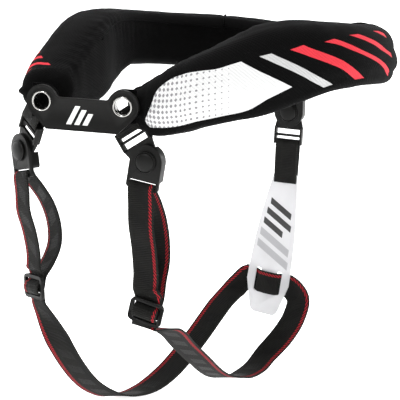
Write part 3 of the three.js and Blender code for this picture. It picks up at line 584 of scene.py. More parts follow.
def section_outline(half, low, high, inset):
    """The foam's outline across one section, from the middle of its underside outwards and up,
    with the number of the point at the inner top seam."""
    limit = 0.48 * min(high - low, 2 * half) - inset
    corners = []
    for x, z, round_size, start in (
            (half - inset, low + inset, 9, -90), (half - inset, high - inset, 17, 0),
            (-half + inset, high - inset, 8, 90), (-half + inset, low + inset, 8, 180)):
        radius = max(0.6, min(round_size - 0.5 * inset, limit))
        cx = x - math.copysign(radius, x)
        cz = z - radius if start in (0, 90) else z + radius
        corners.append(arc(cx, cz, radius, start, start + 90, 8))
    outline = []
    for number, corner in enumerate(corners):
        outline += corner
        if number == 2:
            seam = len(outline) - 1
        a, b = Vector(corner[-1]), Vector(corners[(number + 1) % 4][0])
        push = (3 if number == 0 else 1.2) * (1 - inset / TIP_ROUND)
        way = b - a
        out = Vector((way.y, -way.x)).normalized() * push
        lean = 0.4 if number == 0 else 0.5
        for share in (0.2, 0.4, 0.6, 0.8):
            swell = 1 - ((share - lean) / (lean if share < lean else 1 - lean)) ** 2
            outline.append(tuple(a + way * share + out * swell))
    shift = len(outline) - 2
    return outline[shift:] + outline[:shift], seam + 2


def foam_stops(rings):
    """Stops along the foam with their outlines, both tips rounded off."""
    centres, sizes = [], []
    for turn, reach, low, high, thick in SECTIONS:
        angle, distance = math.radians(turn), reach * MIDDLE_RADIUS
        centres.append(Vector((distance * math.sin(angle), distance * math.cos(angle), 0)))
        sizes.append(Vector((low * PAD_HEIGHT, high * PAD_HEIGHT, thick * PAD_THICKNESS)))
    up = Vector((0, 0, 1))
    stops = []

    def stop(centre, way, size, inset):
        out = Vector((way.y, -way.x, 0)).normalized()
        out = -out if out.dot(centre) < 0 else out
        outline, seam = section_outline(size.z / 2, size.x, size.y, inset)
        stops.append((centre, out, up, outline))
        return seam

    for t, back in ((0, -1), (1, 1)):
        way = (curve_point(centres, abs(t - 0.002)) - curve_point(centres, t)).normalized() * -1
        caps = []
        for angle in (0, 22, 45, 66, 80):
            bend = math.radians(angle)
            caps.append((curve_point(centres, t) + way * TIP_ROUND * math.cos(bend),
                         TIP_ROUND * (1 - math.sin(bend))))
        for centre, inset in caps if t == 0 else caps[::-1]:
            seam = stop(centre, way * back, curve_point(sizes, t), inset)
        if t == 0:
            for i in range(rings + 1):
                share = i / rings
                nearby = (curve_point(centres, min(1, share + 0.002)) - curve_point(centres, max(0, share - 0.002)))
                seam = stop(curve_point(centres, share), nearby.normalized(), curve_point(sizes, share), 0)
    return stops, seam


def wavy(bm, slack, pucker, seam_lines):
    """Lets the cover's fabric wave, dips it at its seams and gathers it beside them."""
    bm.normal_update()
    run, turn = bm.verts.layers.float["run"], bm.verts.layers.float["turn"]
    moves = []
    for vert in bm.verts:
        far = vert.co * 0.001
        move = slack * noise.noise(far * 30) + 0.4 * slack * noise.noise(far * 95)
        for kind, at in seam_lines:
            here = vert[run] / MM if kind == "run" else vert[turn] / MM
            other = vert[turn] / MM if kind == "run" else vert[run] / MM
            off = abs(here - (at if kind == "run" else at(vert[run] / MM)))
            if off < 16:
                move -= 1.5 * pucker * math.exp(-((off / 2.4) ** 2))
                gather = math.sin(other / 1.45 + 2.5 * noise.noise(Vector((other / 18, at_number(kind), 0))))
                move += pucker * 0.55 * gather * math.exp(-off / 6)
        moves.append(vert.normal * move)
    for vert, move in zip(bm.verts, moves):
        vert.co += move


def at_number(kind):
    return 3.0 if kind == "run" else 7.0


# Printed stripes on the cover's outer face, in metres: how far a stripe leans towards the tip for
# each metre up the face, its distance from the tip at the face's foot, its width, its lowest and
# highest place up the face, and the colour's name.
STRIPES = (
    (1.12, 0.1590, 0.0066, 0.0228, 0.0603, "grey_stripe"),
    (1.37, 0.1901, 0.0090, 0.0229, 0.0590, "red_stripe"),
    (2.05, 0.2482, 0.0076, 0.0, 0.0558, "red_stripe"),
    (2.4, 0.2915, 0.0090, 0.0, 0.0567, "red_stripe"),
    (2.5, 0.3330, 0.0100, 0.0, 0.0585, "red_stripe"),
)
PRINT_END = 0.2035
# The white panel's upper and lower edge, as shares of its length and of 100 mm up the face.
PANEL_LENGTH = 0.115
PANEL_TOP = ((0.0, 0.0), (0.14, 0.222), (0.192, 0.315), (0.228, 0.439), (0.263, 0.496), (0.33, 0.548),
             (0.42, 0.574), (0.515, 0.574), (0.6, 0.569), (0.651, 0.58), (0.707, 0.591), (1.0, 0.62))
PANEL_LOW = ((0.0, 0.33), (0.133, 0.23), (0.167, 0.194), (0.26, 0.199), (0.369, 0.203), (0.49, 0.214),
             (0.625, 0.224), (0.75, 0.241), (0.845, 0.294), (0.956, 0.328), (1.0, 0.34))
PANEL_SLANT, PANEL_END = 1.09, 0.1458
HALFTONE = (0.02, 0.076)


def cover_material(colours, sizes, length):
    """Warp-knitted polyester with elastane, sublimation-printed: a matt, fine-ribbed cloth with
    a soft sheen where it turns away."""
    material, tree, shader = new_material("printed_stretch_knit")
    place = add(tree, "ShaderNodeSeparateXYZ", inputs={0: add(tree, "ShaderNodeUVMap", {"uv_map": "UVMap"})})
    run, around = place.outputs[0], place.outputs[1]
    mirrored = add(tree, "ShaderNodeMath", {"operation": "SUBTRACT"}, {0: length * MM, 1: run})
    tip = add(tree, "ShaderNodeMath", {"operation": "MINIMUM"}, {0: run, 1: mirrored})

    # The panel lies between two curves over the distance from the tip.
    share = add(tree, "ShaderNodeMath", {"operation": "DIVIDE"}, {0: tip, 1: PANEL_LENGTH})
    inside = None
    for points, test in ((PANEL_TOP, "LESS_THAN"), (PANEL_LOW, "GREATER_THAN")):
        curve = add(tree, "ShaderNodeFloatCurve", inputs={"Value": share})
        line = curve.mapping.curves[0]
        line.points[0].location, line.points[1].location = points[0], points[-1]
        for point in points[1:-1]:
            line.points.new(*point)
        curve.mapping.update()
        edge = add(tree, "ShaderNodeMath", {"operation": "MULTIPLY"}, {0: curve, 1: 0.1})
        part = add(tree, "ShaderNodeMath", {"operation": test}, {0: around, 1: edge})
        inside = part if inside is None else add(
            tree, "ShaderNodeMath", {"operation": "MULTIPLY"}, {0: inside, 1: part})
    slanted = add(tree, "ShaderNodeMath", {"operation": "MULTIPLY_ADD"},
                  {0: around, 1: PANEL_SLANT, 2: tip})
    ends = add(tree, "ShaderNodeMath", {"operation": "LESS_THAN"}, {0: slanted, 1: PANEL_END})
    inside = add(tree, "ShaderNodeMath", {"operation": "MULTIPLY"}, {0: inside, 1: ends})
    far_arm = add(tree, "ShaderNodeMath", {"operation": "GREATER_THAN"}, {0: run, 1: length / 2 * MM})
    inside = add(tree, "ShaderNodeMath", {"operation": "SUBTRACT", "use_clamp": True},
                 {0: inside, 1: far_arm})

    # Halftone dots: diamonds at the tip that shrink to points along the panel.
    waves = []
    for way, pitch in ((tip, 0.85 * sizes.halftone_pitch), (around, sizes.halftone_pitch)):
        turned = add(tree, "ShaderNodeMath", {"operation": "MULTIPLY"}, {0: way, 1: 2 * math.pi / pitch})
        waves.append(add(tree, "ShaderNodeMath", {"operation": "COSINE"}, {0: turned}))
    dots = add(tree, "ShaderNodeMath", {"operation": "ADD"}, {0: waves[0], 1: waves[1]})
    fade = add(tree, "ShaderNodeMapRange", {}, {0: tip, 1: HALFTONE[0], 2: HALFTONE[1], 3: 0.0, 4: 1.9})
    dotted = add(tree, "ShaderNodeMath", {"operation": "GREATER_THAN"}, {0: dots, 1: fade})
    dot_edge = add(tree, "ShaderNodeMath", {"operation": "LESS_THAN"}, {0: tip, 1: HALFTONE[1]})
    dotted = add(tree, "ShaderNodeMath", {"operation": "MULTIPLY"}, {0: dotted, 1: dot_edge})

    # Dye varies a little over the black cloth.
    cloud = add(tree, "ShaderNodeTexNoise", {}, {
        "Vector": add(tree, "ShaderNodeTexCoord").outputs["Object"], "Scale": 45.0, "Detail": 4.0})
    black = tuple(colours.fabric)
    tint = add(tree, "ShaderNodeMix", {"data_type": "RGBA"}, {
        0: cloud, 6: black, 7: tuple(1.5 * c for c in black[:3]) + (1,)})
    printed = add(tree, "ShaderNodeMix", {"data_type": "RGBA"}, {
        0: dotted, 6: tuple(colours.panel), 7: tuple(colours.dots)})
    colour = add(tree, "ShaderNodeMix", {"data_type": "RGBA"}, {
        0: inside, 6: tint.outputs[2], 7: printed.outputs[2]})
    marks = inside
    printed_part = add(tree, "ShaderNodeMath", {"operation": "LESS_THAN"}, {0: tip, 1: PRINT_END})
    for slant, start, width, low, high, tone in STRIPES:
        leaning = add(tree, "ShaderNodeMath", {"operation": "MULTIPLY_ADD"}, {0: around, 1: slant, 2: tip})
        across = add(tree, "ShaderNodeMath", {"operation": "COMPARE"},
                     {0: leaning, 1: start + width / 2, 2: width / 2})
        upright = add(tree, "ShaderNodeMath", {"operation": "COMPARE"},
                      {0: around, 1: (low + high) / 2, 2: (high - low) / 2})
        stripe = add(tree, "ShaderNodeMath", {"operation": "MULTIPLY"}, {0: across, 1: upright})
        stripe = add(tree, "ShaderNodeMath", {"operation": "MULTIPLY"}, {0: stripe, 1: printed_part})
        colour = add(tree, "ShaderNodeMix", {"data_type": "RGBA"}, {
            0: stripe, 6: colour.outputs[2], 7: tuple(getattr(colours, tone))})
        marks = add(tree, "ShaderNodeMath", {"operation": "MAXIMUM"}, {0: marks, 1: stripe})

    # The far arm's front carries a row of short red bars in the panel's place.
    leaning = add(tree, "ShaderNodeMath", {"operation": "MULTIPLY_ADD"}, {0: around, 1: 0.7, 2: tip})
    phase = add(tree, "ShaderNodeMath", {"operation": "FRACT"}, {
        0: add(tree, "ShaderNodeMath", {"operation": "MULTIPLY"}, {0: leaning, 1: 1 / 0.0135})})
    bars = add(tree, "ShaderNodeMath", {"operation": "LESS_THAN"}, {0: phase, 1: 0.36})
    for value, middle, half in ((around, 0.0515, 0.0105), (tip, 0.040, 0.028)):
        within = add(tree, "ShaderNodeMath", {"operation": "COMPARE"}, {0: value, 1: middle, 2: half})
        bars = add(tree, "ShaderNodeMath", {"operation": "MULTIPLY"}, {0: bars, 1: within})
    bars = add(tree, "ShaderNodeMath", {"operation": "MULTIPLY"}, {0: bars, 1: far_arm})
    colour = add(tree, "ShaderNodeMix", {"data_type": "RGBA"}, {
        0: bars, 6: colour.outputs[2], 7: tuple(colours.red_stripe)})

    # The knit's slanted wales are 2 mm apart, and its courses 1.1 mm.
    leaning = add(tree, "ShaderNodeMath", {"operation": "MULTIPLY_ADD"}, {0: around, 1: 0.8, 2: run})
    ribs = []
    for way, pitch in ((leaning, 0.002), (around, 0.0011)):
        turned = add(tree, "ShaderNodeMath", {"operation": "MULTIPLY"}, {0: way, 1: 2 * math.pi / pitch})
        ribs.append(add(tree, "ShaderNodeMath", {"operation": "SINE"}, {0: turned}))
    knit = add(tree, "ShaderNodeMath", {"operation": "MULTIPLY_ADD"}, {0: ribs[1], 1: 0.4, 2: ribs[0]})
    # Painted shade: the cloth's colour is darkened by up to 16% in the knit's troughs, where the bump's height is
    # low.
    shade = add(tree, "ShaderNodeMapRange", {}, {0: knit, 1: -1.4, 2: 1.4, 3: 0.84, 4: 1.0})
    colour = add(tree, "ShaderNodeMix", {"data_type": "RGBA", "blend_type": "MULTIPLY"}, {
        0: 1.0, 6: colour.outputs[2], 7: shade.outputs[0]})
    relief = add(tree, "ShaderNodeMath", {"operation": "MULTIPLY_ADD"}, {0: cloud, 1: 1.2, 2: knit})
    bump = add(tree, "ShaderNodeBump", {}, {"Strength": 0.35, "Distance": 0.00025, "Height": relief})
    rough = add(tree, "ShaderNodeMapRange", {}, {0: marks, 1: 0.0, 2: 1.0, 3: 0.82, 4: 0.6})
    connect(tree, shader, {
        "Base Color": colour.outputs[2], "Roughness": rough, "Normal": bump, "Specular IOR Level": 0.03,
        "Sheen Weight": 0.02, "Sheen Roughness": 0.4, "Sheen Tint": linear("#8C8C90")})
    return material


def lining_material(colours):
    """Plain black knit of the tabs, the piping and the cover's lining inside and under the ring: duller than the
    printed cloth, with a visible rib. Its black is painted darker than the cover's, as painted shade inside the
    ring."""
    material, tree, shader = new_material("plain_black_knit")
    place = add(tree, "ShaderNodeSeparateXYZ", inputs={0: add(tree, "ShaderNodeUVMap", {"uv_map": "UVMap"})})
    slope = add(tree, "ShaderNodeMath", {"operation": "ADD"}, {0: place.outputs[0], 1: place.outputs[1]})
    turned = add(tree, "ShaderNodeMath", {"operation": "MULTIPLY"}, {0: slope, 1: 2 * math.pi / 0.0012})
    rib = add(tree, "ShaderNodeMath", {"operation": "SINE"}, {0: turned})
    cloud = add(tree, "ShaderNodeTexNoise", {}, {
        "Vector": add(tree, "ShaderNodeTexCoord").outputs["Object"], "Scale": 300.0, "Detail": 3.0})
    # Painted shade: the lining's black is drawn at 0.3 to 0.9 of the cover fabric's, darker than the cover, to
    # stand for the shade inside the ring.
    black = tuple(colours.fabric)
    tint = add(tree, "ShaderNodeMix", {"data_type": "RGBA"}, {
        0: cloud, 6: tuple(0.3 * c for c in black[:3]) + (1,), 7: tuple(0.9 * c for c in black[:3]) + (1,)})
    bump = add(tree, "ShaderNodeBump", {}, {"Strength": 0.5, "Distance": 0.0002, "Height": rib})
    connect(tree, shader, {
        "Base Color": tint.outputs[2], "Roughness": 0.7, "Normal": bump, "Specular IOR Level": 0.02,
        "Sheen Weight": 0.03, "Sheen Roughness": 0.4, "Sheen Tint": linear("#9A9A9E")})
    return material


def webbing_material(name, colours, red_share):
    """Woven elastic webbing: ribs along it from the covered rubber ends, a fine cross weave, a
    tone-on-tone figure and, on the harness, a rope of red yarn near one edge."""
    material, tree, shader = new_material(name)
    place = add(tree, "ShaderNodeSeparateXYZ", inputs={0: add(tree, "ShaderNodeUVMap", {"uv_map": "UVMap"})})
    run, across = place.outputs[0], place.outputs[1]

    # Rope yarn: slanted red floats 2.2 mm apart on a line 1.9 mm wide.
    line = add(tree, "ShaderNodeMath", {"operation": "COMPARE"}, {0: across, 1: 0.875, 2: 0.055})
    slope = add(tree, "ShaderNodeMath", {"operation": "MULTIPLY_ADD"}, {0: across, 1: 0.030, 2: run})
    laid = add(tree, "ShaderNodeMath", {"operation": "MULTIPLY"}, {0: slope, 1: 1 / 0.0027})
    phase = add(tree, "ShaderNodeMath", {"operation": "FRACT"}, {0: laid})
    float_yarn = add(tree, "ShaderNodeMath", {"operation": "LESS_THAN"}, {0: phase, 1: red_share})
    rope = add(tree, "ShaderNodeMath", {"operation": "MULTIPLY"}, {0: line, 1: float_yarn})

    # Ribs 0.9 mm apart along the strip, and picks 0.7 mm apart across it.
    rib_turn = add(tree, "ShaderNodeMath", {"operation": "MULTIPLY"}, {0: across, 1: 2 * math.pi * 22})
    pick_turn = add(tree, "ShaderNodeMath", {"operation": "MULTIPLY"}, {0: run, 1: 2 * math.pi / 0.0014})
    rib = add(tree, "ShaderNodeMath", {"operation": "SINE"}, {0: rib_turn})
    pick = add(tree, "ShaderNodeMath", {"operation": "SINE"}, {0: pick_turn})
    weave = add(tree, "ShaderNodeMath", {"operation": "MULTIPLY_ADD"}, {0: rib, 1: 0.6, 2: pick})

    # The woven figure: slanted bars in the middle of the strip, in the same black on its other face.
    bar_slope = add(tree, "ShaderNodeMath", {"operation": "MULTIPLY_ADD"}, {0: across, 1: 0.016, 2: run})
    bar_phase = add(tree, "ShaderNodeMath", {"operation": "FRACT"}, {
        0: add(tree, "ShaderNodeMath", {"operation": "MULTIPLY"}, {0: bar_slope, 1: 1 / 0.021})})
    bars = add(tree, "ShaderNodeMath", {"operation": "LESS_THAN"}, {0: bar_phase, 1: 0.5})
    middle = add(tree, "ShaderNodeMath", {"operation": "COMPARE"}, {0: across, 1: 0.45, 2: 0.22})
    figure = add(tree, "ShaderNodeMath", {"operation": "MULTIPLY"}, {0: bars, 1: middle})

    # Selvedge stitches 1.6 mm apart along both edges.
    stitch = add(tree, "ShaderNodeMath", {"operation": "FRACT"}, {
        0: add(tree, "ShaderNodeMath", {"operation": "MULTIPLY"}, {0: run, 1: 1 / 0.0016})})
    stitch = add(tree, "ShaderNodeMath", {"operation": "LESS_THAN"}, {0: stitch, 1: 0.6})
    from_middle = add(tree, "ShaderNodeMath", {"operation": "ABSOLUTE"}, {
        0: add(tree, "ShaderNodeMath", {"operation": "SUBTRACT"}, {0: across, 1: 0.5})})
    selvedge = add(tree, "ShaderNodeMath", {"operation": "COMPARE"}, {0: from_middle, 1: 0.455, 2: 0.018})
    selvedge = add(tree, "ShaderNodeMath", {"operation": "MULTIPLY"}, {0: selvedge, 1: stitch})

    black = tuple(colours.webbing)
    lighter = tuple(2.2 * c for c in black[:3]) + (1,)
    base = add(tree, "ShaderNodeMix", {"data_type": "RGBA"}, {0: figure, 6: lighter, 7: black})
    base = add(tree, "ShaderNodeMix", {"data_type": "RGBA"}, {
        0: selvedge, 6: base.outputs[2], 7: tuple(6 * c for c in black[:3]) + (1,)})
    colour = add(tree, "ShaderNodeMix", {"data_type": "RGBA"}, {
        0: rope, 6: base.outputs[2], 7: tuple(colours.red_edge)})
    height = add(tree, "ShaderNodeMath", {"operation": "MULTIPLY_ADD"}, {0: rope, 1: 2.5, 2: weave})
    bump = add(tree, "ShaderNodeBump", {}, {"Strength": 0.6, "Distance": 0.00022, "Height": height})
    rough = add(tree, "ShaderNodeMapRange", {}, {0: figure, 1: 0.0, 2: 1.0, 3: 0.72, 4: 0.52})
    connect(tree, shader, {
        "Base Color": colour.outputs[2], "Roughness": rough, "Normal": bump, "Specular IOR Level": 0.1,
        "Sheen Weight": 0.03, "Sheen Roughness": 0.4, "Sheen Tint": linear("#8A8A8C")})
    return material


def moulded_material(name, colour, roughness, grain):
    """Injection-moulded plastic: even colour, a spark-eroded grain and slightly uneven gloss."""
    material, tree, shader = new_material(name)
    where = add(tree, "ShaderNodeTexCoord").outputs["Object"]
    fine = add(tree, "ShaderNodeTexNoise", {}, {"Vector": where, "Scale": 1 / grain, "Detail": 3.0})
    cloud = add(tree, "ShaderNodeTexNoise", {}, {"Vector": where, "Scale": 60.0, "Detail": 2.0})
    tint = add(tree, "ShaderNodeMix", {"data_type": "RGBA"}, {
        0: cloud, 6: tuple(colour), 7: tuple(1.35 * c for c in tuple(colour)[:3]) + (1,)})
    rough = add(tree, "ShaderNodeMapRange", {}, {
        0: cloud, 1: 0.3, 2: 0.7, 3: roughness - 0.05, 4: roughness + 0.07})
    bump = add(tree, "ShaderNodeBump", {}, {"Strength": 0.25, "Distance": 0.0001, "Height": fine})
    connect(tree, shader, {
        "Base Color": tint.outputs[2], "Roughness": rough, "Normal": bump, "Specular IOR Level": 0.15})
    return material


def plate_material(colours):
    """Moulded nylon with a matt grain and pad-printed white bars at its middle."""
    material = moulded_material("moulded_nylon_plate", colours.plate, 0.5, 0.0006)
    tree = material.node_tree
    shader = next(n for n in tree.nodes if n.type == "BSDF_PRINCIPLED")
    place = add(tree, "ShaderNodeSeparateXYZ", inputs={0: add(tree, "ShaderNodeUVMap", {"uv_map": "UVMap"})})
    slope = add(tree, "ShaderNodeMath", {"operation": "MULTIPLY_ADD"},
                {0: place.outputs[1], 1: -0.5, 2: place.outputs[0]})
    marks = None
    for middle, half, low, high in ((-0.0062, 0.0019, -0.0155, -0.0020), (0.0, 0.0019, -0.0155, -0.0045),
                                    (0.0062, 0.0019, -0.0155, -0.0070)):
        across = add(tree, "ShaderNodeMath", {"operation": "COMPARE"}, {0: slope, 1: middle + 0.004, 2: half})
        upright = add(tree, "ShaderNodeMath", {"operation": "COMPARE"},
                      {0: place.outputs[1], 1: (low + high) / 2, 2: (high - low) / 2})
        bar = add(tree, "ShaderNodeMath", {"operation": "MULTIPLY"}, {0: across, 1: upright})
        marks = bar if marks is None else add(
            tree, "ShaderNodeMath", {"operation": "MAXIMUM"}, {0: marks, 1: bar})
    facing = add(tree, "ShaderNodeVectorMath", {"operation": "DOT_PRODUCT"}, {
        0: add(tree, "ShaderNodeNewGeometry").outputs["True Normal"],
        1: along(PLATE_PLACE, 0, -1, 0)})
    front = add(tree, "ShaderNodeMath", {"operation": "GREATER_THAN"}, {0: facing.outputs[1], 1: 0.7})
    marks = add(tree, "ShaderNodeMath", {"operation": "MULTIPLY"}, {0: marks, 1: front})
    below = shader.inputs["Base Color"].links[0].from_socket
    colour = add(tree, "ShaderNodeMix", {"data_type": "RGBA"}, {0: marks, 6: below, 7: linear("#DEDEDC")})
    connect(tree, shader, {"Base Color": colour.outputs[2]})
    return material


def plated_material():
    """Nickel-plated brass: a bright mirror with fine handling marks."""
    material, tree, shader = new_material("nickel_plated_brass")
    scratch = add(tree, "ShaderNodeTexNoise", {}, {
        "Vector": add(tree, "ShaderNodeTexCoord").outputs["Object"], "Scale": 900.0, "Detail": 2.0})
    rough = add(tree, "ShaderNodeMapRange", {}, {0: scratch, 1: 0.3, 2: 0.7, 3: 0.1, 4: 0.22})
    connect(tree, shader, {"Base Color": linear("#ACABA8"), "Metallic": 1.0, "Roughness": rough})
    return material


def tongue_material(colours):
    """Injection-moulded translucent polyurethane: milky, satin, with dark and pale grey slanted
    bars printed on its front."""
    material, tree, shader = new_material("translucent_polyurethane")
    place = add(tree, "ShaderNodeSeparateXYZ", inputs={0: add(tree, "ShaderNodeUVMap", {"uv_map": "UVMap"})})
    slope = add(tree, "ShaderNodeMath", {"operation": "MULTIPLY_ADD"},
                {0: place.outputs[0], 1: 0.55, 2: place.outputs[1]})
    cloud = add(tree, "ShaderNodeTexNoise", {}, {
        "Vector": add(tree, "ShaderNodeTexCoord").outputs["Object"], "Scale": 70.0, "Detail": 3.0})
    milky = add(tree, "ShaderNodeMix", {"data_type": "RGBA"}, {
        0: cloud, 6: tuple(colours.tongue), 7: tuple(0.88 * c for c in tuple(colours.tongue)[:3]) + (1,)})
    colour = milky
    for middle, half, left, right, tone in (
            (-0.0300, 0.0028, -0.0090, 0.0110, "#232324"), (-0.0400, 0.0028, -0.0110, 0.0125, "#232324"),
            (-0.0500, 0.0028, -0.0125, 0.0060, "#232324"), (-0.0610, 0.0034, -0.0140, 0.0140, "#A6A6A9"),
            (-0.0720, 0.0034, -0.0150, 0.0150, "#A6A6A9")):
        across = add(tree, "ShaderNodeMath", {"operation": "COMPARE"}, {0: slope, 1: middle, 2: half})
        wide = add(tree, "ShaderNodeMath", {"operation": "COMPARE"},
                   {0: place.outputs[0], 1: (left + right) / 2, 2: (right - left) / 2})
        bar = add(tree, "ShaderNodeMath", {"operation": "MULTIPLY"}, {0: across, 1: wide})
        colour = add(tree, "ShaderNodeMix", {"data_type": "RGBA"}, {
            0: bar, 6: colour.outputs[2], 7: linear(tone)})
    bump = add(tree, "ShaderNodeBump", {}, {"Strength": 0.2, "Distance": 0.0003, "Height": cloud})
    connect(tree, shader, {
        "Base Color": colour.outputs[2], "Roughness": 0.32, "Normal": bump, "IOR": 1.5,
        "Transmission Weight": 0.35, "Subsurface Weight": 0.3, "Subsurface Radius": (0.004, 0.004, 0.004)})
    return material


def shared(name, make, *args):
    """A material that more than one operator uses."""
    return bpy.data.materials.get(name) or make(*args)


class COLLAR_OT_cover(bpy.types.Operator):
    """Make the foam ring's printed cover with its seams, piping and front tabs"""

    bl_idname = "collar.cover"
    bl_label = "Cover"

    def execute(self, context):
        sizes, colours = context.scene.collar_sizes, context.scene.collar_colours
        stops, seam = foam_stops(sizes.cover_rings)
        length = sum((b[0] - a[0]).length for a, b in zip(stops, stops[1:]))
        walked = 0.0
        pipes = {}
        seam_runs = []
        for number, (near, far) in enumerate(zip(stops, stops[1:])):
            walked += (far[0] - near[0]).length
            turned = math.degrees(math.atan2(far[0].x, far[0].y))
            seam_runs.append((walked, sum(math.dist(a, b) for a, b in zip(far[3][:seam], far[3][1:seam + 1]))))
            for at in PIPE_TURNS:
                if at not in pipes and turned <= at:
                    pipes[at] = (number + 1, walked)

        def seam_height(distance):
            index = min(len(seam_runs) - 1, int(distance / length * len(seam_runs)))
            return seam_runs[index][1]

        bm = sweep(stops, None)
        lines = [("run", walked) for _, walked in pipes.values()] + [("turn", seam_height)]
        wavy(bm, sizes.slack / MM, sizes.pucker / MM, lines)
        # The lining faces inside and under the ring, past LINING_FROM_TIP from the tips, take the darker plain
        # knit, which is painted shade inside the ring.
        on_ring = bm.verts.layers.float["number"]
        for surface in bm.faces:
            numbers = [vert[on_ring] for vert in surface.verts]
            on_lining = min(numbers) >= seam and max(numbers) - min(numbers) < 3
            way_along = min(vert[bm.verts.layers.float["run"]] for vert in surface.verts) / MM
            tip = min(way_along, length - way_along)
            surface.material_index = int(on_lining and tip > LINING_FROM_TIP)
        cover = finished("collar_cover", bm, cover_material(colours, sizes, length),
                         ["collar_pad"])
        knit = shared("plain_black_knit", lining_material, colours)
        cover.data.materials.append(knit)
        radius = sizes.piping / MM / 2
        for number, (at, (index, _)) in enumerate(sorted(pipes.items())):
            centre, out, up, outline = stops[index]
            path = [centre + out * a + up * b for a, b in outline[3:seam]]
            finished(f"cover_piping_{number + 1}", tube(path, radius), knit)
        path = [c + out * o[seam][0] + up * o[seam][1] for c, out, up, o in stops[38:-38:2]]
        finished("inner_seam_piping", tube(path, radius * 0.6), knit)

        front = -PLATE_THICKNESS / 2 - GAP
        for name, side in (("left", 1), ("right", -1)):
            x = side * EYELET_SPACING / 2
            rounded = arc(x, 0, 12.3, 90 if side > 0 else -90, 270 if side > 0 else 90, 20)
            tail = [(x + side * 9, -side * 12.3), (x + side * 9, side * 12.3)]
            hole = arc(x, 0, 6.75, 0, 360, 32)[:-1]
            tab = slab([rounded + tail, hole], front, 2.4, PLATE_PLACE)
            round_edges(finished(f"{name}_tab", tab, knit), 0.8 * MM)
        return {"FINISHED"}


class COLLAR_OT_front_plate(bpy.types.Operator):
    """Make the rigid front plate with its raised rim, and the two plated eyelets"""

    bl_idname = "collar.front_plate"
    bl_label = "Front plate"

    def execute(self, context):
        sizes, colours = context.scene.collar_sizes, context.scene.collar_colours
        half, lobe, waist, blend = EYELET_SPACING / 2, 11.8, 3.6, 3
        low_angle = -math.degrees(math.asin(8 / lobe))
        top_angle = 180 - math.degrees(math.asin((waist + blend) / (lobe + blend)))
        blend_x = half + (lobe + blend) * math.cos(math.radians(top_angle))
        right = ([(27, -20)] + arc(half, 0, lobe, low_angle, top_angle, 26)
                 + arc(blend_x, waist + blend, blend, top_angle - 180, -90, 6)[1:])
        outline = right + [(-x, z) for x, z in right[::-1]]
        holes = [arc(x, 0, 6.75, 0, 360, 40)[:-1] for x in (-half, half)]
        plate = slab([outline, *holes], PLATE_THICKNESS / 2, PLATE_THICKNESS, PLATE_PLACE, rim=(1.1, 0.6))
        plate = finished("front_plate_moulding", plate, plate_material(colours),
                         ["front_plate"])
        round_edges(plate, sizes.mould_round * 0.8)

        front, back = PLATE_THICKNESS / 2 + GAP, PLATE_THICKNESS / 2 + 2 * GAP + 2.6
        bore, flange, rise = 5.9, 7.3, 0.8
        rolled = [(bore + 0.7 - 0.7 * math.sin(a), front + rise * math.cos(a)) for a in
                  (math.radians(k) for k in range(0, 91, 15))]
        outline = rolled + [(bore, -back - rise), (flange, -back - rise), (flange, -back), (bore + 0.5, -back),
                            (bore + 0.5, front), (flange, front), (flange, front + 0.3),
                            (flange - 0.2, front + 0.62), (bore + 1.0, front + rise)]
        for name, side in (("left", 1), ("right", -1)):
            place = PLATE_PLACE @ Matrix.Translation((side * half, 0, 0))
            finished(f"{name}_eyelet_ring", lathe(outline, 56, place),
                     shared("nickel_plated_brass", plated_material), [f"{name}_eyelet"])
        return {"FINISHED"}


class COLLAR_OT_snaps(bpy.types.Operator):
    """Make the three swivel snaps: moulded body, link and riveted cap"""

    bl_idname = "collar.snaps"
    bl_label = "Snaps"

    def execute(self, context):
        sizes, colours = context.scene.collar_sizes, context.scene.collar_colours
        plastic = shared("moulded_acetal", moulded_material, "moulded_acetal", colours.plastic, 0.4, 0.0005)
        front = 1.5 + GAP
        back = 1.5 + GAP + 2.4 + GAP
        dome = [(6.9 * math.cos(a), front + 1.5 + 1.7 * math.sin(a)) for a in
                (math.radians(k) for k in (90, 78, 66, 54, 42, 30, 18, 6))]
        outline = ([(0, dome[0][1])] + dome[1:] + [
            (6.95, front + 1.0), (7.2, front + 1.0), (7.3, front + 1.35), (7.55, front + 1.5),
            (7.85, front + 1.35), (8.0, front + 1.0), (8.0, front), (2.8, front), (2.8, -back), (4.4, -back),
            (4.6, -back - 0.2), (4.6, -back - 0.8), (4.4, -back - 1.0), (0, -back - 1.0)])
        for name, snap in SNAPS.items():
            for kind, place in (("buckle_body", snap["body_place"]), ("buckle_link", snap["link_place"])):
                node = f"{name}_{kind}"
                piece = finished(f"{node}_moulding", from_solid(node, place), plastic, [node])
                round_edges(piece, sizes.mould_round)
            finished(f"{name}_snap_dome", lathe(outline, 56, snap["body_place"]), plastic,
                     [f"{name}_snap_cap"])
        return {"FINISHED"}


class COLLAR_OT_sliders(bpy.types.Operator):
    """Make the two moulded sliders that adjust the strap"""

    bl_idname = "collar.sliders"
    bl_label = "Sliders"

    def execute(self, context):
        sizes, colours = context.scene.collar_sizes, context.scene.collar_colours
        plastic = shared("moulded_acetal", moulded_material, "moulded_acetal", colours.plastic, 0.4, 0.0005)
        for name, loop in LOOPS.items():
            node = f"{name}_slider"
            piece = finished(f"{node}_moulding", from_solid(node, loop["slider"]), plastic,
                             [node])
            round_edges(piece, sizes.mould_round * 1.6)
        return {"FINISHED"}


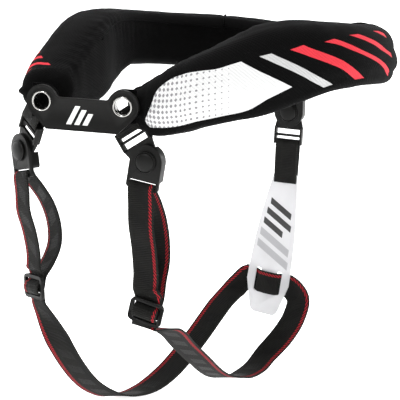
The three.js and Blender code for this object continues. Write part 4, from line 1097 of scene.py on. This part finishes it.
class COLLAR_OT_webbing(bpy.types.Operator):
    """Make the short webbing loops that hang the snaps and the tongue"""

    bl_idname = "collar.webbing"
    bl_label = "Webbing loops"

    def execute(self, context):
        woven = webbing_material("plain_elastic_webbing", context.scene.collar_colours, 0.0)
        rear_anchor = place_at(SNAPS["rear"]["body_bar"].translation, SNAPS["rear"]["turn"], 0)
        loops = {
            "left_anchor_webbing": folded_loop(
                SNAPS["left"]["link_bar"], raised(SNAPS["left"]["link_bar"], SNAPS["left"]["anchor"])),
            "right_anchor_webbing": folded_loop(
                SNAPS["right"]["link_bar"], raised(SNAPS["right"]["link_bar"], SNAPS["right"]["anchor"])),
            "rear_anchor_webbing": folded_loop(rear_anchor, raised(rear_anchor, SNAPS["rear"]["anchor"])),
            "rear_loop_webbing": folded_loop(REAR_BAR, raised(REAR_BAR, 34), TONGUE_THICKNESS + 2 * GAP),
        }
        for node, route in loops.items():
            bm = strip(route, WEBBING_WIDTH, WEBBING_THICKNESS * 0.95)
            finished(f"{node}_weave", bm, woven, [node])
        return {"FINISHED"}


class COLLAR_OT_tongue(bpy.types.Operator):
    """Make the translucent tongue with its two slots"""

    bl_idname = "collar.tongue"
    bl_label = "Tongue"

    def execute(self, context):
        tongue = finished("tongue_moulding", from_solid("back_tongue", TONGUE_PLACE),
                          tongue_material(context.scene.collar_colours), ["back_tongue"])
        round_edges(tongue, 0.4 * MM)
        return {"FINISHED"}


class COLLAR_OT_strap(bpy.types.Operator):
    """Make the one strap that runs through both sliders and the tongue"""

    bl_idname = "collar.strap"
    bl_label = "Harness strap"

    def execute(self, context):
        woven = webbing_material("roped_elastic_webbing", context.scene.collar_colours, 0.5)
        bm = strip(harness_route(), WEBBING_WIDTH, WEBBING_THICKNESS * 0.95)
        finished("harness_strap_weave", bm, woven, ["harness_strap"])
        return {"FINISHED"}


class COLLAR_OT_stage(bpy.types.Operator):
    """Make the pale floor and backdrop, the soft lights and the camera"""

    bl_idname = "collar.stage"
    bl_label = "Stage"

    def execute(self, context):
        paint, tree, shader = new_material("white_backdrop_paint")
        connect(tree, shader, {
            "Base Color": linear("#FBFBFB"), "Roughness": 0.9, "Specular IOR Level": 0.1,
            "Emission Color": (1, 1, 1, 1), "Emission Strength": 0.9})
        away = Vector((-1, 1, 0)).normalized()
        side = Vector((1, 1, 0)).normalized()
        floor_z = CAD_BOX[0][2] / MM - 1
        bm = bmesh.new()
        profile = [(-20000, 0), (1400, 0)] + [
            (1400 + 900 * math.sin(math.radians(a)), 900 - 900 * math.cos(math.radians(a)))
            for a in range(10, 91, 10)] + [(2300, 12000)]
        verts = [bm.verts.new(away * d + side * -20000 + Vector((0, 0, floor_z + h))) for d, h in profile]
        edges = [bm.edges.new(pair) for pair in zip(verts, verts[1:])]
        grown = bmesh.ops.extrude_edge_only(bm, edges=edges)["geom"]
        bmesh.ops.translate(bm, vec=side * 40000, verts=[g for g in grown if isinstance(g, bmesh.types.BMVert)])
        bmesh.ops.recalc_face_normals(bm, faces=bm.faces)
        if sum(f.normal.z for f in bm.faces) < 0:
            bmesh.ops.reverse_faces(bm, faces=bm.faces)
        bmesh.ops.scale(bm, vec=(MM, MM, MM), verts=bm.verts)
        mesh = bpy.data.meshes.new("backdrop")
        bm.to_mesh(mesh)
        bm.free()
        mesh.materials.append(paint)
        mesh.polygons.foreach_set("use_smooth", [True] * len(mesh.polygons))
        backdrop = bpy.data.objects.new("backdrop", mesh)
        context.scene.collection.objects.link(backdrop)

        target = Vector((-0.014, -0.014, -0.096))
        for name, place, size, power in (
                ("key_light", (0.25, -1.25, 1.05), 0.3, 13), ("fill_light", (1.3, -0.1, 0.35), 0.9, 5),
                ("top_light", (-0.1, 0.25, 1.4), 0.9, 12), ("left_light", (-1.2, -0.6, 0.5), 0.7, 5),
                ("rim_light", (0.35, 1.3, 0.15), 0.4, 7)):
            light = bpy.data.lights.new(name, "AREA")
            light.size = size
            light.energy = power
            lamp = bpy.data.objects.new(name, light)
            lamp.location = place
            lamp.rotation_euler = (target - Vector(place)).to_track_quat("-Z", "Y").to_euler()
            context.scene.collection.objects.link(lamp)
        world = bpy.data.worlds.new("studio")
        world.use_nodes = True
        background = world.node_tree.nodes["Background"]
        background.inputs[0].default_value = (1, 1, 1, 1)
        background.inputs[1].default_value = 0.3
        context.scene.world = world
        context.scene.view_settings.view_transform = "Standard"

        camera = bpy.data.objects.new("camera", bpy.data.cameras.new("camera"))
        camera.data.lens = 123.75
        camera.data.sensor_width = 36
        rise, turn, distance = math.radians(11.4), math.radians(45), 1.1
        camera.location = target + distance * Vector(
            (math.cos(rise) * math.sin(turn), -math.cos(rise) * math.cos(turn), math.sin(rise)))
        camera.rotation_euler = (target - camera.location).to_track_quat("-Z", "Y").to_euler()
        context.scene.collection.objects.link(camera)
        context.scene.camera = camera
        return {"FINISHED"}


class COLLAR_PT_panel(bpy.types.Panel):
    """Lists the collar's pieces, sizes and colours"""

    bl_label = "Neck Collar"
    bl_idname = "COLLAR_PT_panel"
    bl_space_type = "VIEW_3D"
    bl_region_type = "UI"
    bl_category = "Neck Collar"

    def draw(self, context):
        layout = self.layout
        for operator in OPERATORS:
            layout.operator(operator.bl_idname)
        for group in (context.scene.collar_sizes, context.scene.collar_colours):
            box = layout.box()
            for name in group.bl_rna.properties.keys():
                if name not in {"rna_type", "name"}:
                    box.prop(group, name)


PIPE_TURNS = (43, -43)
LINING_FROM_TIP = 105
OPERATORS = (
    COLLAR_OT_cover, COLLAR_OT_front_plate, COLLAR_OT_snaps, COLLAR_OT_sliders, COLLAR_OT_webbing,
    COLLAR_OT_tongue, COLLAR_OT_strap, COLLAR_OT_stage,
)
CLASSES = (CollarSizes, CollarColours, *OPERATORS, COLLAR_PT_panel)


def register():
    for item in CLASSES:
        bpy.utils.register_class(item)
    bpy.types.Scene.collar_sizes = PointerProperty(type=CollarSizes)
    bpy.types.Scene.collar_colours = PointerProperty(type=CollarColours)


def unregister():
    del bpy.types.Scene.collar_colours
    del bpy.types.Scene.collar_sizes
    for item in reversed(CLASSES):
        bpy.utils.unregister_class(item)


def main():
    register()
    bpy.ops.collar.cover()
    bpy.ops.collar.front_plate()
    bpy.ops.collar.snaps()
    bpy.ops.collar.sliders()
    bpy.ops.collar.webbing()
    bpy.ops.collar.tongue()
    bpy.ops.collar.strap()
    bpy.ops.collar.stage()


if __name__ == "__main__":
    main()
